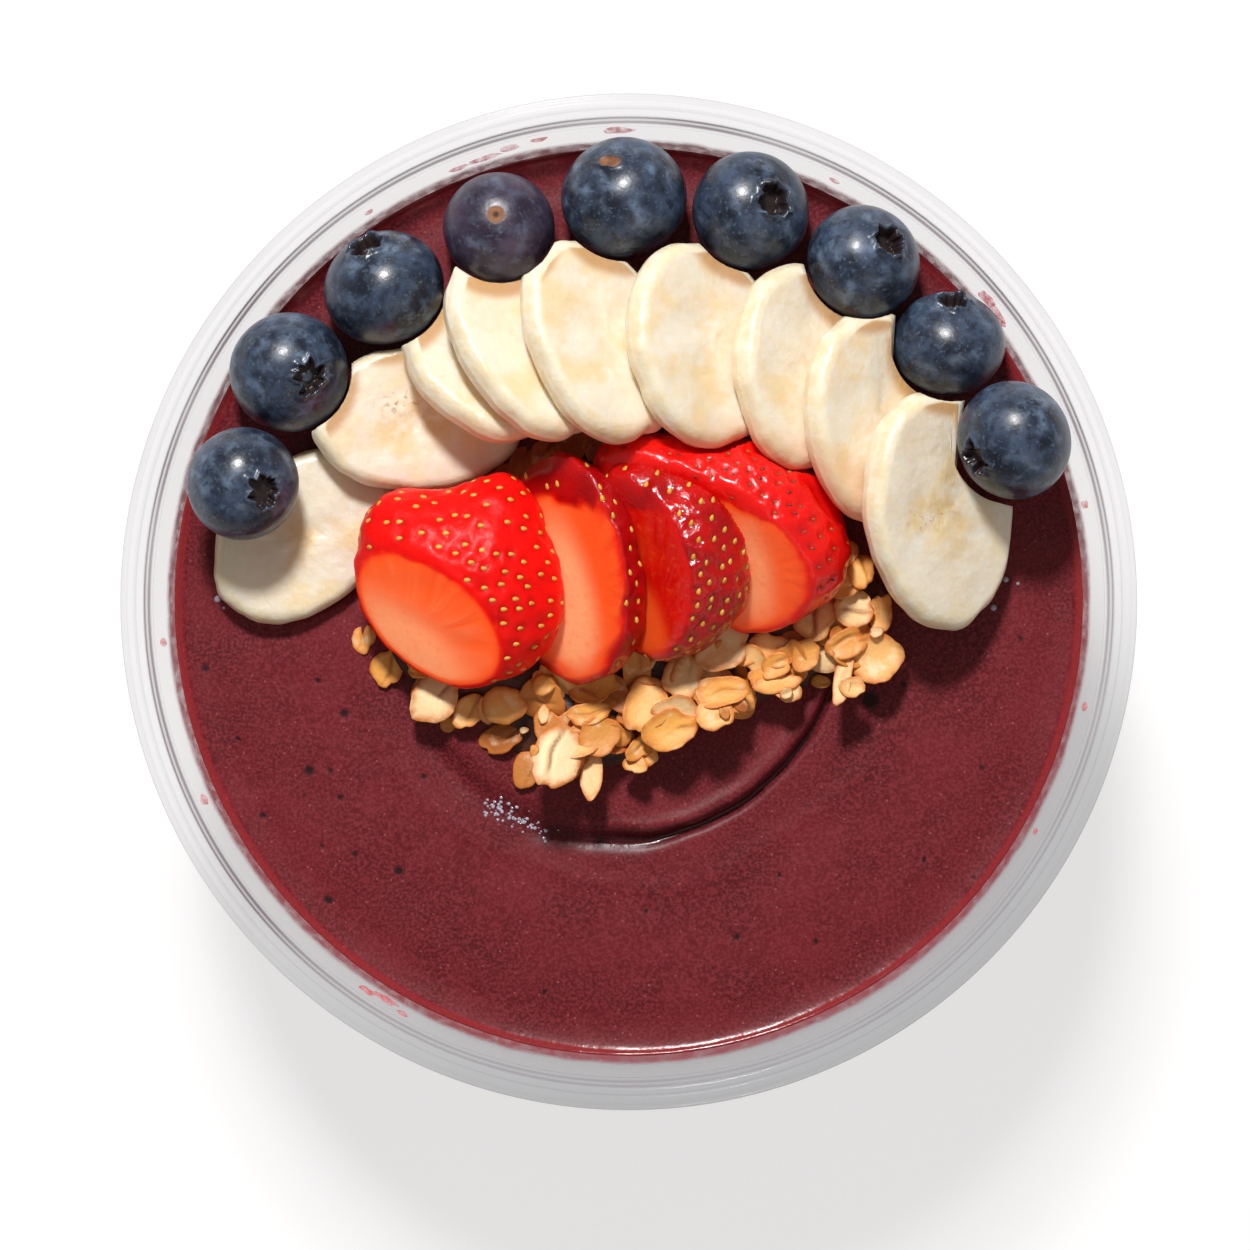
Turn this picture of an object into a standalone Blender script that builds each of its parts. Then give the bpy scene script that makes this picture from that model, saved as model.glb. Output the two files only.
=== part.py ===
# An acai bowl: a clear round take-away bowl filled with thick acai, with nine blueberries and
# nine banana slices in an arc at the back, four strawberry pieces on a mound of oat flakes in
# the middle. Sizes are in millimetres and become metres as meshes are made. +Z is up, +X is
# right and +Y is the back of the bowl (the top of the photograph). The origin is the middle of
# the bowl's underside.

import math
import random

import bmesh
import bpy
from mathutils import Matrix, Vector
from mathutils.bvhtree import BVHTree

MM = 0.001
GAP = 0.3  # between neighbouring solids

# The bowl
RIM_RADIUS = 75.0
BOWL_HEIGHT = 60.0
RIM_WIDTH = 3.3
RIM_LIP = 2.0  # how far the rim's outer edge turns down
LEDGE_DROP = 1.8  # the stacking ledge below the rim
WALL = 1.1
FLOOR = 2.6  # top of the bowl's floor
FOOT_RADIUS = 48.5
FOOT_WIDTH = 4.0
FOOT_RECESS = 1.4
WALL_FOOT_RADIUS = 49.0  # inside radius of the wall at WALL_FOOT_HEIGHT
WALL_FOOT_HEIGHT = 4.0
WALL_DRAFT = 0.40  # growth of the inside radius per height
BOWL_SIDES = 60

# The acai
ACAI_LEVEL = 50.0
SWIRL_RADIUS = 34.0  # the raised disc's edge, round the mound of flakes
SWIRL_HEIGHT = 1.3
ACAI_SIDES = 60

# The toppings
BERRY_SINK = 1.6  # how deep the berries sit in the acai
BERRY_ROOM = 0.5  # between a berry and the slices beside it
BANANA_SINK = 1.2
BANANA_THICKNESS = 4.9
STEEPEST_BANANA = 38
NEAR_END_SWELL = 0.09  # of the slices' ends by the strawberries
MOUND_TOP = 56.4  # flat top of the mound of flakes, under the strawberries
MOUND_EDGE = 51.7  # where the core meets the raised acai
MOUND_BOTTOM = 47.5
MOUND_MIDDLE = (0.0, -1.0)
MOUND_HALF_LENGTH = 38.0
MOUND_HALF_WIDTH = 17.0
MOUND_LOBE = 9.0
MOUND_LOBE_DIRECTION = -112
MOUND_BACK_LOBE = 5.0  # between the strawberries and the bananas
MOUND_BACK_DIRECTION = 113

# x, y, diameter across the crown, stretch along it, and where the crown looks: its offset from
# the middle as seen from above, in berry radii
BERRIES = (
    (-56.6, 17.4, 16.8, 0.94, 0.46, -0.14),
    (-50.2, 34.0, 18.0, 0.94, 0.44, -0.13),
    (-36.3, 46.6, 18.2, 0.90, -0.33, 0.78),
    (-19.2, 55.4, 16.8, 0.92, -0.04, 0.21),
    (-0.8, 59.8, 18.9, 0.92, -0.25, 0.60),
    (18.1, 57.8, 17.8, 0.92, 0.44, 0.15),
    (34.7, 50.4, 17.2, 0.92, 0.50, 0.36),
    (47.3, 38.3, 17.1, 0.88, 0.07, 0.86),
    (56.4, 23.6, 17.7, 0.92, -0.76, -0.37),
)

# x, y, half length, half width, direction of the length, direction and angle of the lean
BANANAS = (
    (-48.2, 9.9, 15.7, 11.3, 40, -20, 4),
    (-31.0, 27.2, 16.4, 11.4, 4, 10, 9),
    (-22.2, 34.6, 13.2, 9.6, 128, 62, 18),
    (-15.1, 38.0, 15.6, 10.8, 118, 42, 25),
    (-4.2, 38.5, 15.8, 11.4, 114, 30, 27),
    (11.1, 37.9, 15.4, 12.4, 107, 16, 27),
    (25.5, 34.6, 15.3, 11.4, 97, 8, 27),
    (36.2, 27.6, 16.0, 11.6, 99, 2, 27),
    (45.6, 13.6, 18.2, 12.2, 102, -4, 27),
)

# Each strawberry piece is an egg with the half sizes given, its length in one direction, cut by
# a sloping face. x, y, height of the middle, half length, half width, half height, direction of
# the length, then a point of the cut face, the way it looks and its slope.
STRAWBERRIES = (
    (-24.7, 1.2, 61.6, 15.8, 14.2, 10.5, 0, (-23.3, 0.4, 71.2), 228, 44),
    (-8.5, 5.2, 62.1, 17.4, 12.0, 11.5, 100, (-0.5, 5.9, 71.0), 190, 42),
    (7.0, 6.6, 61.8, 15.8, 11.4, 11.5, 75, (8.6, 4.7, 72.8), 197, 46),
    (14.9, 10.6, 61.2, 18.9, 14.4, 10.5, -14, (21.6, 10.2, 69.8), 235, 36),
)
STRAWBERRY_BOTTOM = MOUND_TOP + GAP

# Flakes that show: x, y, half length, half width, direction of the length, lean and its angle
FLAKES = (
    (-39.4, -5.5, 3.2, 2.4, 60, 200, 15),
    (-35.9, -9.8, 3.4, 2.6, 100, 240, 12),
    (-28.6, -13.8, 4.6, 3.4, 75, 250, 11),
    (-23.7, -16.3, 3.0, 2.2, 80, 280, 18),
    (-18.4, -15.1, 3.7, 2.8, 10, 270, 13),
    (-12.5, -12.3, 2.4, 1.8, 80, 260, 18),
    (-5.0, -12.6, 4.4, 2.6, 5, 265, 12),
    (-19.1, -20.4, 3.6, 2.5, 15, 250, 12),
    (-15.0, -25.0, 3.2, 2.2, 60, 230, 17),
    (-10.4, -22.8, 5.2, 3.7, 80, 260, 12),
    (-4.4, -20.0, 3.3, 2.7, 40, 300, 15),
    (-5.4, -25.6, 3.9, 1.8, 75, 350, 18),
    (-6.1, -16.6, 3.4, 2.0, 10, 270, 15),
    (0.9, -24.1, 2.1, 1.5, 10, 270, 7),
    (2.3, -15.5, 4.5, 3.4, 65, 290, 13),
    (7.9, -11.3, 3.9, 3.1, 60, 280, 14),
    (13.8, -6.6, 4.5, 3.7, 20, 280, 14),
    (13.5, -13.2, 4.4, 2.2, 15, 270, 16),
    (12.6, -16.6, 3.2, 2.4, 20, 290, 12),
    (12.6, -20.0, 2.3, 1.9, 10, 270, 9),
    (6.2, -18.8, 4.4, 2.8, 15, 280, 13),
    (21.6, -9.5, 4.0, 3.0, 30, 290, 14),
    (21.9, -12.2, 3.7, 1.6, 5, 270, 13),
    (26.1, -8.0, 3.4, 2.8, 60, 300, 16),
    (27.6, -2.3, 3.9, 3.2, 70, 320, 14),
    (33.4, -1.1, 3.1, 2.7, 40, 340, 13),
    (31.9, 2.6, 2.8, 2.3, 10, 340, 12),
    (37.3, -1.7, 3.0, 1.8, 80, 350, 16),
    (32.2, -6.2, 3.6, 2.2, 20, 310, 14),
    (36.6, -8.3, 4.3, 3.4, 60, 310, 11),
    (31.6, -11.5, 4.1, 1.7, 115, 300, 16),
    (-8.4, 22.4, 3.6, 2.8, 20, 90, 12),
    (-14.0, 23.6, 3.0, 2.4, 50, 100, 12),
)
FLAKE_THICKNESS = 1.5

random.seed(7)


def clear_scene():
    for item in list(bpy.data.objects):
        bpy.data.objects.remove(item, do_unlink=True)


def material(name, colour, roughness, alpha=1.0):
    made = bpy.data.materials.new(name)
    made.use_nodes = True
    shader = made.node_tree.nodes["Principled BSDF"]
    shader.inputs["Base Color"].default_value = (*colour, 1.0)
    shader.inputs["Roughness"].default_value = roughness
    shader.inputs["Alpha"].default_value = alpha
    return made


def finish(name, bm, look):
    bmesh.ops.recalc_face_normals(bm, faces=bm.faces)
    bmesh.ops.triangulate(bm, faces=bm.faces)
    mesh = bpy.data.meshes.new(name)
    bmesh.ops.scale(bm, vec=(MM, MM, MM), verts=bm.verts)
    bm.to_mesh(mesh)
    bm.free()
    made = bpy.data.objects.new(name, mesh)
    mesh.materials.append(look)
    bpy.context.collection.objects.link(made)
    return made


def lofted(bm, rings):
    """Joins rings of vertices, one above the other; a ring may be a single vertex."""
    for low, high in zip(rings, rings[1:]):
        count = max(len(low), len(high))
        for i in range(count):
            j = (i + 1) % count
            if len(low) == 1:
                bm.faces.new((low[0], high[i], high[j]))
            elif len(high) == 1:
                bm.faces.new((low[i], low[j], high[0]))
            else:
                bm.faces.new((low[i], low[j], high[j], high[i]))


def turned(bm, profile, sides):
    """Turns a profile of (radius, height) round the Z axis; a radius of 0 is one vertex."""
    rings = []
    for radius, height in profile:
        if radius == 0:
            rings.append([bm.verts.new((0, 0, height))])
            continue
        angles = [math.tau * i / sides for i in range(sides)]
        rings.append([bm.verts.new((radius * math.cos(a), radius * math.sin(a), height)) for a in angles])
    lofted(bm, rings)


def compass(degrees):
    return Vector((math.cos(math.radians(degrees)), math.sin(math.radians(degrees)), 0))


def inside_radius(height):
    return WALL_FOOT_RADIUS + (height - WALL_FOOT_HEIGHT) * WALL_DRAFT


def make_bowl(look):
    ledge = BOWL_HEIGHT - LEDGE_DROP
    step = RIM_RADIUS - RIM_WIDTH
    top_of_wall = ledge - 0.7
    foot = FOOT_RADIUS - FOOT_WIDTH
    outside = [(0, FOOT_RECESS), (foot - 1.5, FOOT_RECESS), (foot, 0), (FOOT_RADIUS, 0)]
    outside.append((inside_radius(FOOT_RECESS + 1) + WALL, FOOT_RECESS + 1))
    outside.append((inside_radius(top_of_wall - 1) + WALL, top_of_wall - 1.2))
    outside.append((step + WALL, ledge - WALL))
    outside.append((step + WALL + 0.2, BOWL_HEIGHT - WALL))
    outside.append((RIM_RADIUS - 0.8, BOWL_HEIGHT - WALL))
    outside.append((RIM_RADIUS - 0.8, BOWL_HEIGHT - RIM_LIP))
    outside.append((RIM_RADIUS, BOWL_HEIGHT - RIM_LIP))
    rim = [(RIM_RADIUS, BOWL_HEIGHT - 0.5), (RIM_RADIUS - 0.5, BOWL_HEIGHT)]
    rim += [(step + 0.3, BOWL_HEIGHT), (step, BOWL_HEIGHT - 0.3)]
    inside = [(step - 0.2, ledge), (step - 0.9, ledge)]
    inside.append((inside_radius(top_of_wall), top_of_wall))
    inside.append((inside_radius(WALL_FOOT_HEIGHT), WALL_FOOT_HEIGHT))
    inside.append((WALL_FOOT_RADIUS - 1.6, FLOOR))
    inside.append((0, FLOOR))
    bm = bmesh.new()
    turned(bm, outside + rim + inside, BOWL_SIDES)
    return finish("bowl", bm, look)


def acai_height(x, y):
    """The acai's surface: a raised swirl round the mound, a low ring by the wall, a meniscus."""
    radius = math.hypot(x, y)
    wall = inside_radius(ACAI_LEVEL)
    swirl = math.hypot(x * 1.08 + 0.6, y + 1.5)
    edge = max(0.0, min(1.0, (SWIRL_RADIUS + 2.0 - swirl) / 2.6))
    raised = SWIRL_HEIGHT * edge * edge * (3 - 2 * edge)
    crease = -0.7 * math.exp(-((swirl - SWIRL_RADIUS - 4.0) / 2.2) ** 2)
    broad = 0.5 * math.exp(-((radius - 50.0) / 7.0) ** 2)
    trough = -0.6 * math.exp(-((radius - wall + 4.5) / 2.4) ** 2)
    meniscus = 1.0 * math.exp(-((wall - radius) / 1.4))
    return ACAI_LEVEL + raised + crease + broad + trough + meniscus


def make_acai(look):
    wall = inside_radius(ACAI_LEVEL) - GAP
    radii = [wall, wall - 1.8, wall - 4.5, wall - 8, 54, 48, 41.5, 38, 35.5, 33.5, 31, 22]
    bottom = FLOOR + GAP
    low = WALL_FOOT_HEIGHT + GAP
    profile = [(0, bottom), (WALL_FOOT_RADIUS - 3.0, bottom)]
    profile += [(inside_radius(low) - GAP * 1.2, low), (wall - 0.15, ACAI_LEVEL - 1)]
    bm = bmesh.new()
    rings = [[bm.verts.new((0, 0, bottom))]]
    angles = [math.tau * i / ACAI_SIDES for i in range(ACAI_SIDES)]
    for radius, height in profile[1:]:
        rings.append([bm.verts.new((radius * math.cos(a), radius * math.sin(a), height)) for a in angles])
    for radius in radii:
        around = [(radius * math.cos(a), radius * math.sin(a)) for a in angles]
        rings.append([bm.verts.new((x, y, acai_height(x, y))) for x, y in around])
    rings.append([bm.verts.new((0, 0, acai_height(0, 0)))])
    lofted(bm, rings)
    return finish("acai", bm, look)


def make_berry(name, diameter, stretch, crown, look):
    """A berry with a raised, open crown; crown is the way that the crown looks."""
    radius = diameter / 2
    sides = 14
    profile = [(0, -radius * stretch)]
    for degrees in (-66, -44, -20, 4, 28, 50):
        angle = math.radians(degrees)
        profile.append((radius * math.cos(angle), radius * stretch * math.sin(angle)))
    crown_top = radius * stretch * 0.96
    profile += [(2.9, crown_top - 0.5), (2.6, crown_top + 0.35), (1.7, crown_top + 0.1)]
    profile += [(1.4, crown_top - 1.3), (0, crown_top - 1.5)]
    bm = bmesh.new()
    turned(bm, profile, sides)
    turn = Vector((0, 0, 1)).rotation_difference(crown).to_matrix().to_4x4()
    bmesh.ops.transform(bm, matrix=turn, verts=bm.verts)
    return finish(name, bm, look)


def near_berry(x, y, berries):
    """Whether a point, seen from above, lies in a berry or just beside it."""
    return any(math.hypot(x - berry[0], y - berry[1]) < berry[2] / 2 + BERRY_ROOM for berry in berries)


def make_banana(name, row, tilt, look):
    """A cut round of banana: flat faces, a soft edge, and the three-sided look of the fruit.

    Its far end is hollowed where berries lie against it, so that they rest in the acai."""
    place_x, place_y, half_length, half_width, along, lean = row
    sides = 28
    half = BANANA_THICKNESS / 2
    shape = random.Random(name)
    start = shape.uniform(0, math.tau)
    seen_width = half_width - half * math.sin(math.radians(tilt))
    true_width = seen_width / math.cos(math.radians(tilt))
    levels = [(0.0, -half), (0.93, -half), (1.0, -half + 0.7), (1.0, half - 0.7), (0.93, half)]
    bm = bmesh.new()
    rings = []
    for share, height in levels:
        ring = []
        for i in range(sides if share else 1):
            angle = math.tau * i / sides
            swell = 1 + 0.018 * math.cos(3 * angle + start) + 0.01 * math.cos(5 * angle - start)
            if place_y > 27.5:
                # blunter where the slice meets the strawberries
                swell += NEAR_END_SWELL * max(0.0, -math.cos(angle)) * abs(math.sin(2 * angle))
            x = half_length * share * swell * math.cos(angle)
            y = true_width * share * swell * math.sin(angle)
            ring.append(bm.verts.new((x, y, height)))
        rings.append(ring)
    rings.append([bm.verts.new((0, 0, half + 0.2))])
    lofted(bm, rings)
    bmesh.ops.rotate(bm, matrix=Matrix.Rotation(math.radians(along), 3, "Z"), verts=bm.verts)
    axis = compass(lean + 90)
    bmesh.ops.rotate(bm, matrix=Matrix.Rotation(math.radians(tilt), 3, axis), verts=bm.verts)
    # the first slice lies flat and carries its berry
    berries = BERRIES if name != "banana_1" else ()
    for ring, (share, height) in zip(rings, levels):
        middle = Matrix.Rotation(math.radians(tilt), 3, axis) @ Vector((0, 0, height))
        for vert in ring:
            while near_berry(vert.co.x + place_x, vert.co.y + place_y, berries):
                vert.co = middle + (vert.co - middle) * 0.985
    return finish(name, bm, look)


def lean_banana(name, row, below, look):
    """Leans a slice on those before it, steeper and steeper, until its low edge is in the acai."""
    x, y, half_length, half_width, along, lean, tilt = row
    while True:
        piece = make_banana(name, (x, y, half_length, half_width, along, lean), tilt, look)
        rest(piece, x, y, ACAI_LEVEL - BANANA_SINK, below)
        lowest = min((piece.matrix_world @ vert.co).z for vert in piece.data.vertices) / MM
        if lowest < ACAI_LEVEL - BANANA_SINK + 1.5 or tilt >= STEEPEST_BANANA:
            print(name, "leans", tilt, "lowest", round(lowest, 1))
            return piece
        bpy.data.objects.remove(piece, do_unlink=True)
        tilt += 1


def cut_off(bm, point, normal):
    """Removes what lies on the normal's side of a plane, and closes the cut."""
    everything = bm.verts[:] + bm.edges[:] + bm.faces[:]
    bmesh.ops.bisect_plane(bm, geom=everything, dist=1e-5, plane_co=point, plane_no=normal, clear_outer=True)
    border = [edge for edge in bm.edges if edge.is_boundary]
    if border:
        bmesh.ops.holes_fill(bm, edges=border, sides=0)


def face_normal(direction, slope):
    tilt = math.radians(slope)
    return compass(direction) * math.sin(tilt) + Vector((0, 0, math.cos(tilt)))


def make_strawberry(name, row, later_rows, look):
    x, y, z, length, width, height, along, point, direction, slope = row
    bm = bmesh.new()
    bmesh.ops.create_uvsphere(bm, u_segments=24, v_segments=14, radius=1.0)
    for vert in bm.verts:
        flat = math.hypot(vert.co.x, vert.co.y)
        swell = 1 + 0.05 * (1 - flat) * flat
        vert.co = Vector((vert.co.x * length * swell, vert.co.y * width * swell, vert.co.z * height))
    bmesh.ops.rotate(bm, matrix=Matrix.Rotation(math.radians(along), 3, "Z"), verts=bm.verts)
    bmesh.ops.translate(bm, vec=(x, y, z), verts=bm.verts)
    cut_off(bm, Vector(point), face_normal(direction, slope))
    cut_off(bm, Vector((0, 0, STRAWBERRY_BOTTOM)), Vector((0, 0, -1)))
    for later in later_rows:
        normal = face_normal(later[8], later[9])
        cut_off(bm, Vector(later[7]) + normal * GAP, -normal)
    return finish(name, bm, look)


def tree_of(item):
    bm = bmesh.new()
    bm.from_mesh(item.data)
    bm.transform(item.matrix_world)
    tree = BVHTree.FromBMesh(bm)
    places = [vert.co.copy() for vert in bm.verts]
    bm.free()
    return tree, places


def rest(item, x, y, floor, below):
    """Moves a piece to x, y and lowers it until it stands on the floor height or a neighbour."""
    item.location = (x * MM, y * MM, 0.2)
    bpy.context.view_layer.update()
    tree, places = tree_of(item)
    fall = min(place.z for place in places) - floor * MM
    for other in below:
        other_tree, other_places = tree_of(other)
        for place in places:
            hit = other_tree.ray_cast(place, Vector((0, 0, -1)))
            if hit[0] is not None:
                fall = min(fall, hit[3] - GAP * 1.5 * MM)
        for place in other_places:
            hit = tree.ray_cast(place, Vector((0, 0, 1)))
            if hit[0] is not None:
                fall = min(fall, hit[3] - GAP * 1.5 * MM)
    item.location.z -= fall
    bpy.context.view_layer.update()


def make_flake(bm, row, height):
    """Adds one oat flake: a thin oval with eight sides, thinner at its edge."""
    x, y, length, width, along, lean, tilt = row
    sides = 8
    half = FLAKE_THICKNESS / 2
    turn = Matrix.Rotation(math.radians(tilt), 3, compass(lean + 90))
    turn = turn @ Matrix.Rotation(math.radians(along), 3, "Z")
    rings = []
    for share, level in ((0, -half), (1.0, -half * 0.4), (1.0, half * 0.4), (0.6, half), (0, half * 0.8)):
        ring = []
        for i in range(sides if share else 1):
            angle = math.tau * i / sides
            local = Vector((length * share * math.cos(angle), width * share * math.sin(angle), level))
            ring.append(bm.verts.new(turn @ local + Vector((x, y, height))))
        rings.append(ring)
    lofted(bm, rings)


def mound_reach(angle):
    """How far the core of the mound reaches from its middle, with a lobe to the front left."""
    ellipse = 1 / math.hypot(math.cos(angle) / MOUND_HALF_LENGTH, math.sin(angle) / MOUND_HALF_WIDTH)
    off = (math.degrees(angle) - MOUND_LOBE_DIRECTION + 180) % 360 - 180
    lobe = MOUND_LOBE * math.exp(-((off / 36) ** 2))
    off = (math.degrees(angle) - MOUND_BACK_DIRECTION + 180) % 360 - 180
    lobe += MOUND_BACK_LOBE * math.exp(-((off / 22) ** 2))
    return (ellipse + lobe) * (1 + 0.03 * math.cos(5 * angle + 0.6) + 0.02 * math.cos(9 * angle))


def mound_height(x, y):
    """The top of the core: flat under the strawberries, and falling to the acai round them."""
    dx = x - MOUND_MIDDLE[0]
    dy = y - MOUND_MIDDLE[1]
    share = math.hypot(dx, dy) / mound_reach(math.atan2(dy, dx))
    fall = max(0.0, min(1.0, (share - 0.62) / 0.38))
    return MOUND_TOP - (MOUND_TOP - MOUND_EDGE) * fall ** 1.5


def make_core(look):
    core = bmesh.new()
    middle = (*MOUND_MIDDLE, MOUND_BOTTOM)
    rings = [[core.verts.new(middle)]]
    sides = 40
    angles = [math.tau * i / sides for i in range(sides)]
    for share in (0.97, 1.0, 0.9, 0.78, 0.62):
        ring = []
        for angle in angles:
            x = MOUND_MIDDLE[0] + share * mound_reach(angle) * math.cos(angle)
            y = MOUND_MIDDLE[1] + share * mound_reach(angle) * math.sin(angle)
            height = MOUND_BOTTOM if len(rings) == 1 else mound_height(x, y)
            ring.append(core.verts.new((x, y, height)))
        rings.append(ring)
    rings.append([core.verts.new((*MOUND_MIDDLE, MOUND_TOP))])
    lofted(core, rings)
    return finish("granola", core, look)


def settled_flake(row, look, heap_tree, trees):
    """The flake lying on the core, lowered until it clears what lies over it, or None."""
    height = mound_height(row[0], row[1]) + 1.6
    lowest = height - 2.6
    while height > lowest:
        bm = bmesh.new()
        make_flake(bm, row, height)
        flake = finish("flake", bm, look)
        tree = tree_of(flake)[0]
        clear = not any(tree.overlap(other) for other in trees)
        if clear and tree.overlap(heap_tree):
            return flake
        bpy.data.objects.remove(flake, do_unlink=True)
        height -= 0.3
    return None


def cover_core(heap, look, neighbours):
    """Fuses the flakes that show onto the core, the largest first."""
    heap_tree = tree_of(heap)[0]
    trees = [tree_of(item)[0] for item in neighbours]
    flakes = bpy.data.collections.new("flakes")
    bpy.context.scene.collection.children.link(flakes)
    for row in sorted(FLAKES, key=lambda row: -row[2] * row[3]):
        flake = settled_flake(row, look, heap_tree, trees)
        if flake is not None:
            bpy.context.collection.objects.unlink(flake)
            flakes.objects.link(flake)
        else:
            print("flake left out at", row[0], row[1])
    union = heap.modifiers.new("flakes", "BOOLEAN")
    union.operation = "UNION"
    union.operand_type = "COLLECTION"
    union.collection = flakes
    union.solver = "EXACT"
    union.use_self = True
    apply_modifiers(heap)
    for flake in list(flakes.objects):
        bpy.data.objects.remove(flake, do_unlink=True)
    bpy.data.collections.remove(flakes)


def apply_modifiers(item):
    graph = bpy.context.evaluated_depsgraph_get()
    mesh = bpy.data.meshes.new_from_object(item.evaluated_get(graph))
    item.modifiers.clear()
    item.data = mesh


def press_into(base, pieces, clearance):
    """Cuts the pieces' shapes, grown by the clearance, out of the base."""
    cutters = bpy.data.collections.new("cutters")
    bpy.context.scene.collection.children.link(cutters)
    for piece in pieces:
        bm = bmesh.new()
        bm.from_mesh(piece.data)
        bm.transform(piece.matrix_world)
        bm.normal_update()
        for vert in bm.verts:
            vert.co += vert.normal * clearance * MM
        mesh = bpy.data.meshes.new("cutter")
        bm.to_mesh(mesh)
        bm.free()
        cutter = bpy.data.objects.new("cutter", mesh)
        cutter.hide_render = True
        cutter.display_type = "WIRE"
        cutters.objects.link(cutter)
    cut = base.modifiers.new("press", "BOOLEAN")
    cut.operation = "DIFFERENCE"
    cut.operand_type = "COLLECTION"
    cut.collection = cutters
    cut.solver = "EXACT"
    cut.use_self = True
    apply_modifiers(base)
    for cutter in list(cutters.objects):
        bpy.data.objects.remove(cutter, do_unlink=True)
    bpy.data.collections.remove(cutters)


def main():
    clear_scene()
    clear_plastic = material("clear_plastic", (0.86, 0.87, 0.88), 0.12, 0.35)
    acai_look = material("acai", (0.16, 0.024, 0.03), 0.35)
    berry_look = material("blueberry_skin", (0.04, 0.06, 0.10), 0.45)
    banana_look = material("banana_flesh", (0.90, 0.76, 0.50), 0.45)
    strawberry_look = material("strawberry_flesh", (0.75, 0.03, 0.02), 0.3)
    oat_look = material("oat_flake", (0.72, 0.42, 0.17), 0.7)

    bowl = make_bowl(clear_plastic)
    acai = make_acai(acai_look)

    bananas = []
    for number, row in enumerate(BANANAS, start=1):
        bananas.append(lean_banana(f"banana_{number}", row, bananas + [bowl], banana_look))

    berries = []
    for number, (x, y, diameter, stretch, east, north) in enumerate(BERRIES, start=1):
        up = math.sqrt(max(0.0, 1 - east * east - north * north))
        berry = make_berry(f"blueberry_{number}", diameter, stretch, Vector((east, north, up)), berry_look)
        rest(berry, x, y, ACAI_LEVEL - BERRY_SINK, bananas + berries + [bowl])
        berries.append(berry)

    strawberries = []
    for number, row in enumerate(STRAWBERRIES, start=1):
        later = STRAWBERRIES[number:]
        strawberries.append(make_strawberry(f"strawberry_{number}", row, later, strawberry_look))

    press_into(strawberries[3], bananas[4:8], GAP)

    granola = make_core(oat_look)
    press_into(acai, bananas + berries + [granola], GAP + 0.1)
    cover_core(granola, oat_look, bananas + strawberries + [acai])


main()
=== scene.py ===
# The looks of the acai bowl: a clear take-away bowl of thick acai with blueberries, banana
# slices, strawberry pieces and oat flakes, seen from straight above. Sizes are in millimetres
# and become metres as meshes are made. +Z is up, +Y is the top of the photograph.

import random
from math import atan2, cos, degrees, exp, hypot, pi, radians, sin, sqrt, tan, tau

import bmesh
import bpy
import numpy
from mathutils import Matrix, Vector, kdtree, noise
from mathutils.bvhtree import BVHTree


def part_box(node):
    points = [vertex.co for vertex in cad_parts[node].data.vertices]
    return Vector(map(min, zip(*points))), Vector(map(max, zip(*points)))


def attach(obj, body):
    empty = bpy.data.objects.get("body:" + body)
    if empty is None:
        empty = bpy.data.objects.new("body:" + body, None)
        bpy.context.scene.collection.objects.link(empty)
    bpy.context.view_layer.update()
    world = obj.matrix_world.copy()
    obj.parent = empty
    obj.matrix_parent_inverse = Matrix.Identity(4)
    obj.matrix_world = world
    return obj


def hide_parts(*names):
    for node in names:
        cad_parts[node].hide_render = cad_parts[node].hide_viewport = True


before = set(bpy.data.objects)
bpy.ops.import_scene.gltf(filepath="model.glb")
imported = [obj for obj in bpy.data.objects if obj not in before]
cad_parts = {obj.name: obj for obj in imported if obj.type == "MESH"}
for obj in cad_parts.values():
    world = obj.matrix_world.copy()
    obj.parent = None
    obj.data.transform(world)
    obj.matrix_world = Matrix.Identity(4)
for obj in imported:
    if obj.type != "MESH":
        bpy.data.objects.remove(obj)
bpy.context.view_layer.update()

MM = 0.001
UP = Vector((0, 0, 1))

# The bowl, as in the solids
RIM_RADIUS = 75.0
BOWL_HEIGHT = 60.0
RIM_WIDTH = 3.3
RIM_LIP = 2.0
LEDGE_DROP = 1.8
WALL = 1.1
FLOOR = 2.6
FOOT_RADIUS = 48.5
FOOT_WIDTH = 4.0
FOOT_RECESS = 1.4
WALL_FOOT_RADIUS = 49.0
WALL_FOOT_HEIGHT = 4.0
WALL_DRAFT = 0.40
LEDGE = BOWL_HEIGHT - LEDGE_DROP
STEP_RADIUS = RIM_RADIUS - RIM_WIDTH

# How dense the clear plastic is head-on and edge-on, and the side of it that gets painted shade
CLEAR_HEAD_ON = 0.13
CLEAR_EDGE_ON = 0.8
SHADE_DIRECTION = 292

ACAI_LEVEL = 50.0
RAY_START = 30.0  # inside the acai, below all toppings
SWIRL_RADIUS = 34.0
SWIRL_HEIGHT = 1.3

MOUND_TOP = 56.4
MOUND_EDGE = 51.7
MOUND_MIDDLE = (0.0, -1.0)
MOUND_HALF_LENGTH = 38.0
MOUND_HALF_WIDTH = 17.0
MOUND_LOBES = ((9.0, -112, 36), (5.0, 113, 22))  # how far out, direction and width
STRAWBERRY_BOTTOM = MOUND_TOP + 0.3

# The camera stands over the bowl's axis; the photograph's frame is this wide at the rim
CAMERA_DISTANCE = 900.0
FRAME_WIDTH = 184.3
SHIFT_X = -0.0030
SHIFT_Y = -0.0186


def smooth(low, high, value):
    share = max(0.0, min(1.0, (value - low) / (high - low)))
    return share * share * (3 - 2 * share)


def bell(value, width):
    """1 where the value is 0, falling off to both sides within about the given width."""
    return exp(-((value / width) ** 2))


def rough(x, y, z, size, seed=0.0):
    """Soft noise from -1 to 1 with features of about the given size."""
    return noise.noise(Vector((x / size + seed, y / size - seed, z / size + 2 * seed)))


def compass(bearing):
    return Vector((cos(radians(bearing)), sin(radians(bearing)), 0))


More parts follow.
